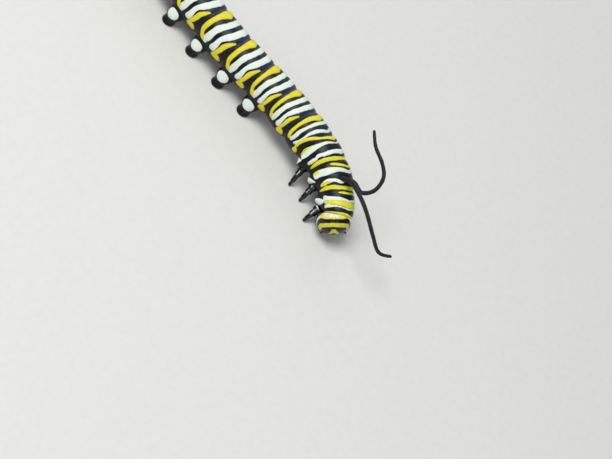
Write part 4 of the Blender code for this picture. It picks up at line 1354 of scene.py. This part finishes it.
class LarvaSettings(bpy.types.PropertyGroup):
    """Sizes and colours of the larva."""

    spacing: size_setting("Ring spacing", "Distance between the skin's rings", 0.078)
    sides: IntProperty(name="Skin sides", description="Points round the skin", default=140)
    puff: size_setting("Band puff", "How far pale bands stand out", 0.055)
    groove: size_setting("Band groove", "Depth of the groove beside a band", 0.022)
    white: colour_setting("White", "White bands", "#E4EDE6")
    cream_and_highlight: colour_setting("Cream", "Yellowed edges of white bands", "#DDE08A")
    yellow: colour_setting("Yellow", "Yellow bands", "#E4DE34")
    head_yellow: colour_setting("Head yellow", "Arches of the head", "#D9D23C")
    orange: colour_setting("Orange", "Warm edges of yellow bands", "#D99A1E")
    black: colour_setting("Black", "Velvet black bands", "#07090C")
    # Colour of the painted sheen, a blue-grey painted reflection on the black back
    painted_sheen: colour_setting("Dusk", "Blue-grey bloom of the black on the back", "#3A4258")
    shell: colour_setting("Shell", "Black of the head and legs", "#08080A")
    mouth: colour_setting("Mouth", "Brown black of the mouthparts", "#1A120D")
    key: FloatProperty(name="Key light", description="Power of the key light", unit="POWER", default=0.74)
    sky: FloatProperty(name="Sky", description="Strength of the sky", subtype="FACTOR", default=0.28)


class LARVA_OT_skin(bpy.types.Operator):
    """Makes the banded skin of the body and the fleshy feet"""

    bl_idname = "larva.skin"
    bl_label = "Skin"

    def execute(self, context):
        make_skin(context.scene.larva)
        return {"FINISHED"}


class LARVA_OT_head(bpy.types.Operator):
    """Makes the head capsule, its eyes, feelers and mouthparts"""

    bl_idname = "larva.head"
    bl_label = "Head"

    def execute(self, context):
        make_head(context.scene.larva)
        make_eyes(context.scene.larva)
        make_mouthparts(context.scene.larva)
        return {"FINISHED"}


class LARVA_OT_legs(bpy.types.Operator):
    """Makes the six jointed legs"""

    bl_idname = "larva.legs"
    bl_label = "Legs"

    def execute(self, context):
        make_legs(context.scene.larva)
        return {"FINISHED"}


class LARVA_OT_filaments(bpy.types.Operator):
    """Makes the front and rear filaments"""

    bl_idname = "larva.filaments"
    bl_label = "Filaments"

    def execute(self, context):
        make_filaments(context.scene.larva)
        return {"FINISHED"}


class LARVA_OT_details(bpy.types.Operator):
    """Adds the bristles, the soles' hooks and the rims of the breathing holes"""

    bl_idname = "larva.details"
    bl_label = "Details"

    def execute(self, context):
        make_hairs(context.scene.larva)
        make_sole_hooks(context.scene.larva)
        make_breathing_holes(context.scene.larva)
        return {"FINISHED"}


class LARVA_OT_stage(bpy.types.Operator):
    """Lays the floor and sets the lights and the camera"""

    bl_idname = "larva.stage"
    bl_label = "Stage"

    def execute(self, context):
        make_stage(context.scene.larva)
        return {"FINISHED"}


class LARVA_PT_panel(bpy.types.Panel):
    """Lists the larva's pieces"""

    bl_label = "Larva"
    bl_idname = "LARVA_PT_panel"
    bl_space_type = "VIEW_3D"
    bl_region_type = "UI"
    bl_category = "Larva"

    def draw(self, context):
        for action in ACTIONS:
            self.layout.operator(action.bl_idname)


ACTIONS = (LARVA_OT_skin, LARVA_OT_head, LARVA_OT_legs, LARVA_OT_filaments, LARVA_OT_details, LARVA_OT_stage)


def register():
    """Registers the settings, the operators and the panel."""
    bpy.utils.register_class(LarvaSettings)
    for action in ACTIONS:
        bpy.utils.register_class(action)
    bpy.utils.register_class(LARVA_PT_panel)
    bpy.types.Scene.larva = PointerProperty(type=LarvaSettings)


def unregister():
    """Takes the settings, the operators and the panel away."""
    del bpy.types.Scene.larva
    bpy.utils.unregister_class(LARVA_PT_panel)
    for action in reversed(ACTIONS):
        bpy.utils.unregister_class(action)
    bpy.utils.unregister_class(LarvaSettings)


def main():
    """Makes every piece and the stage."""
    register()
    bpy.ops.larva.skin()
    bpy.ops.larva.head()
    bpy.ops.larva.legs()
    bpy.ops.larva.filaments()
    bpy.ops.larva.details()
    bpy.ops.larva.stage()


if __name__ == "__main__":
    main()
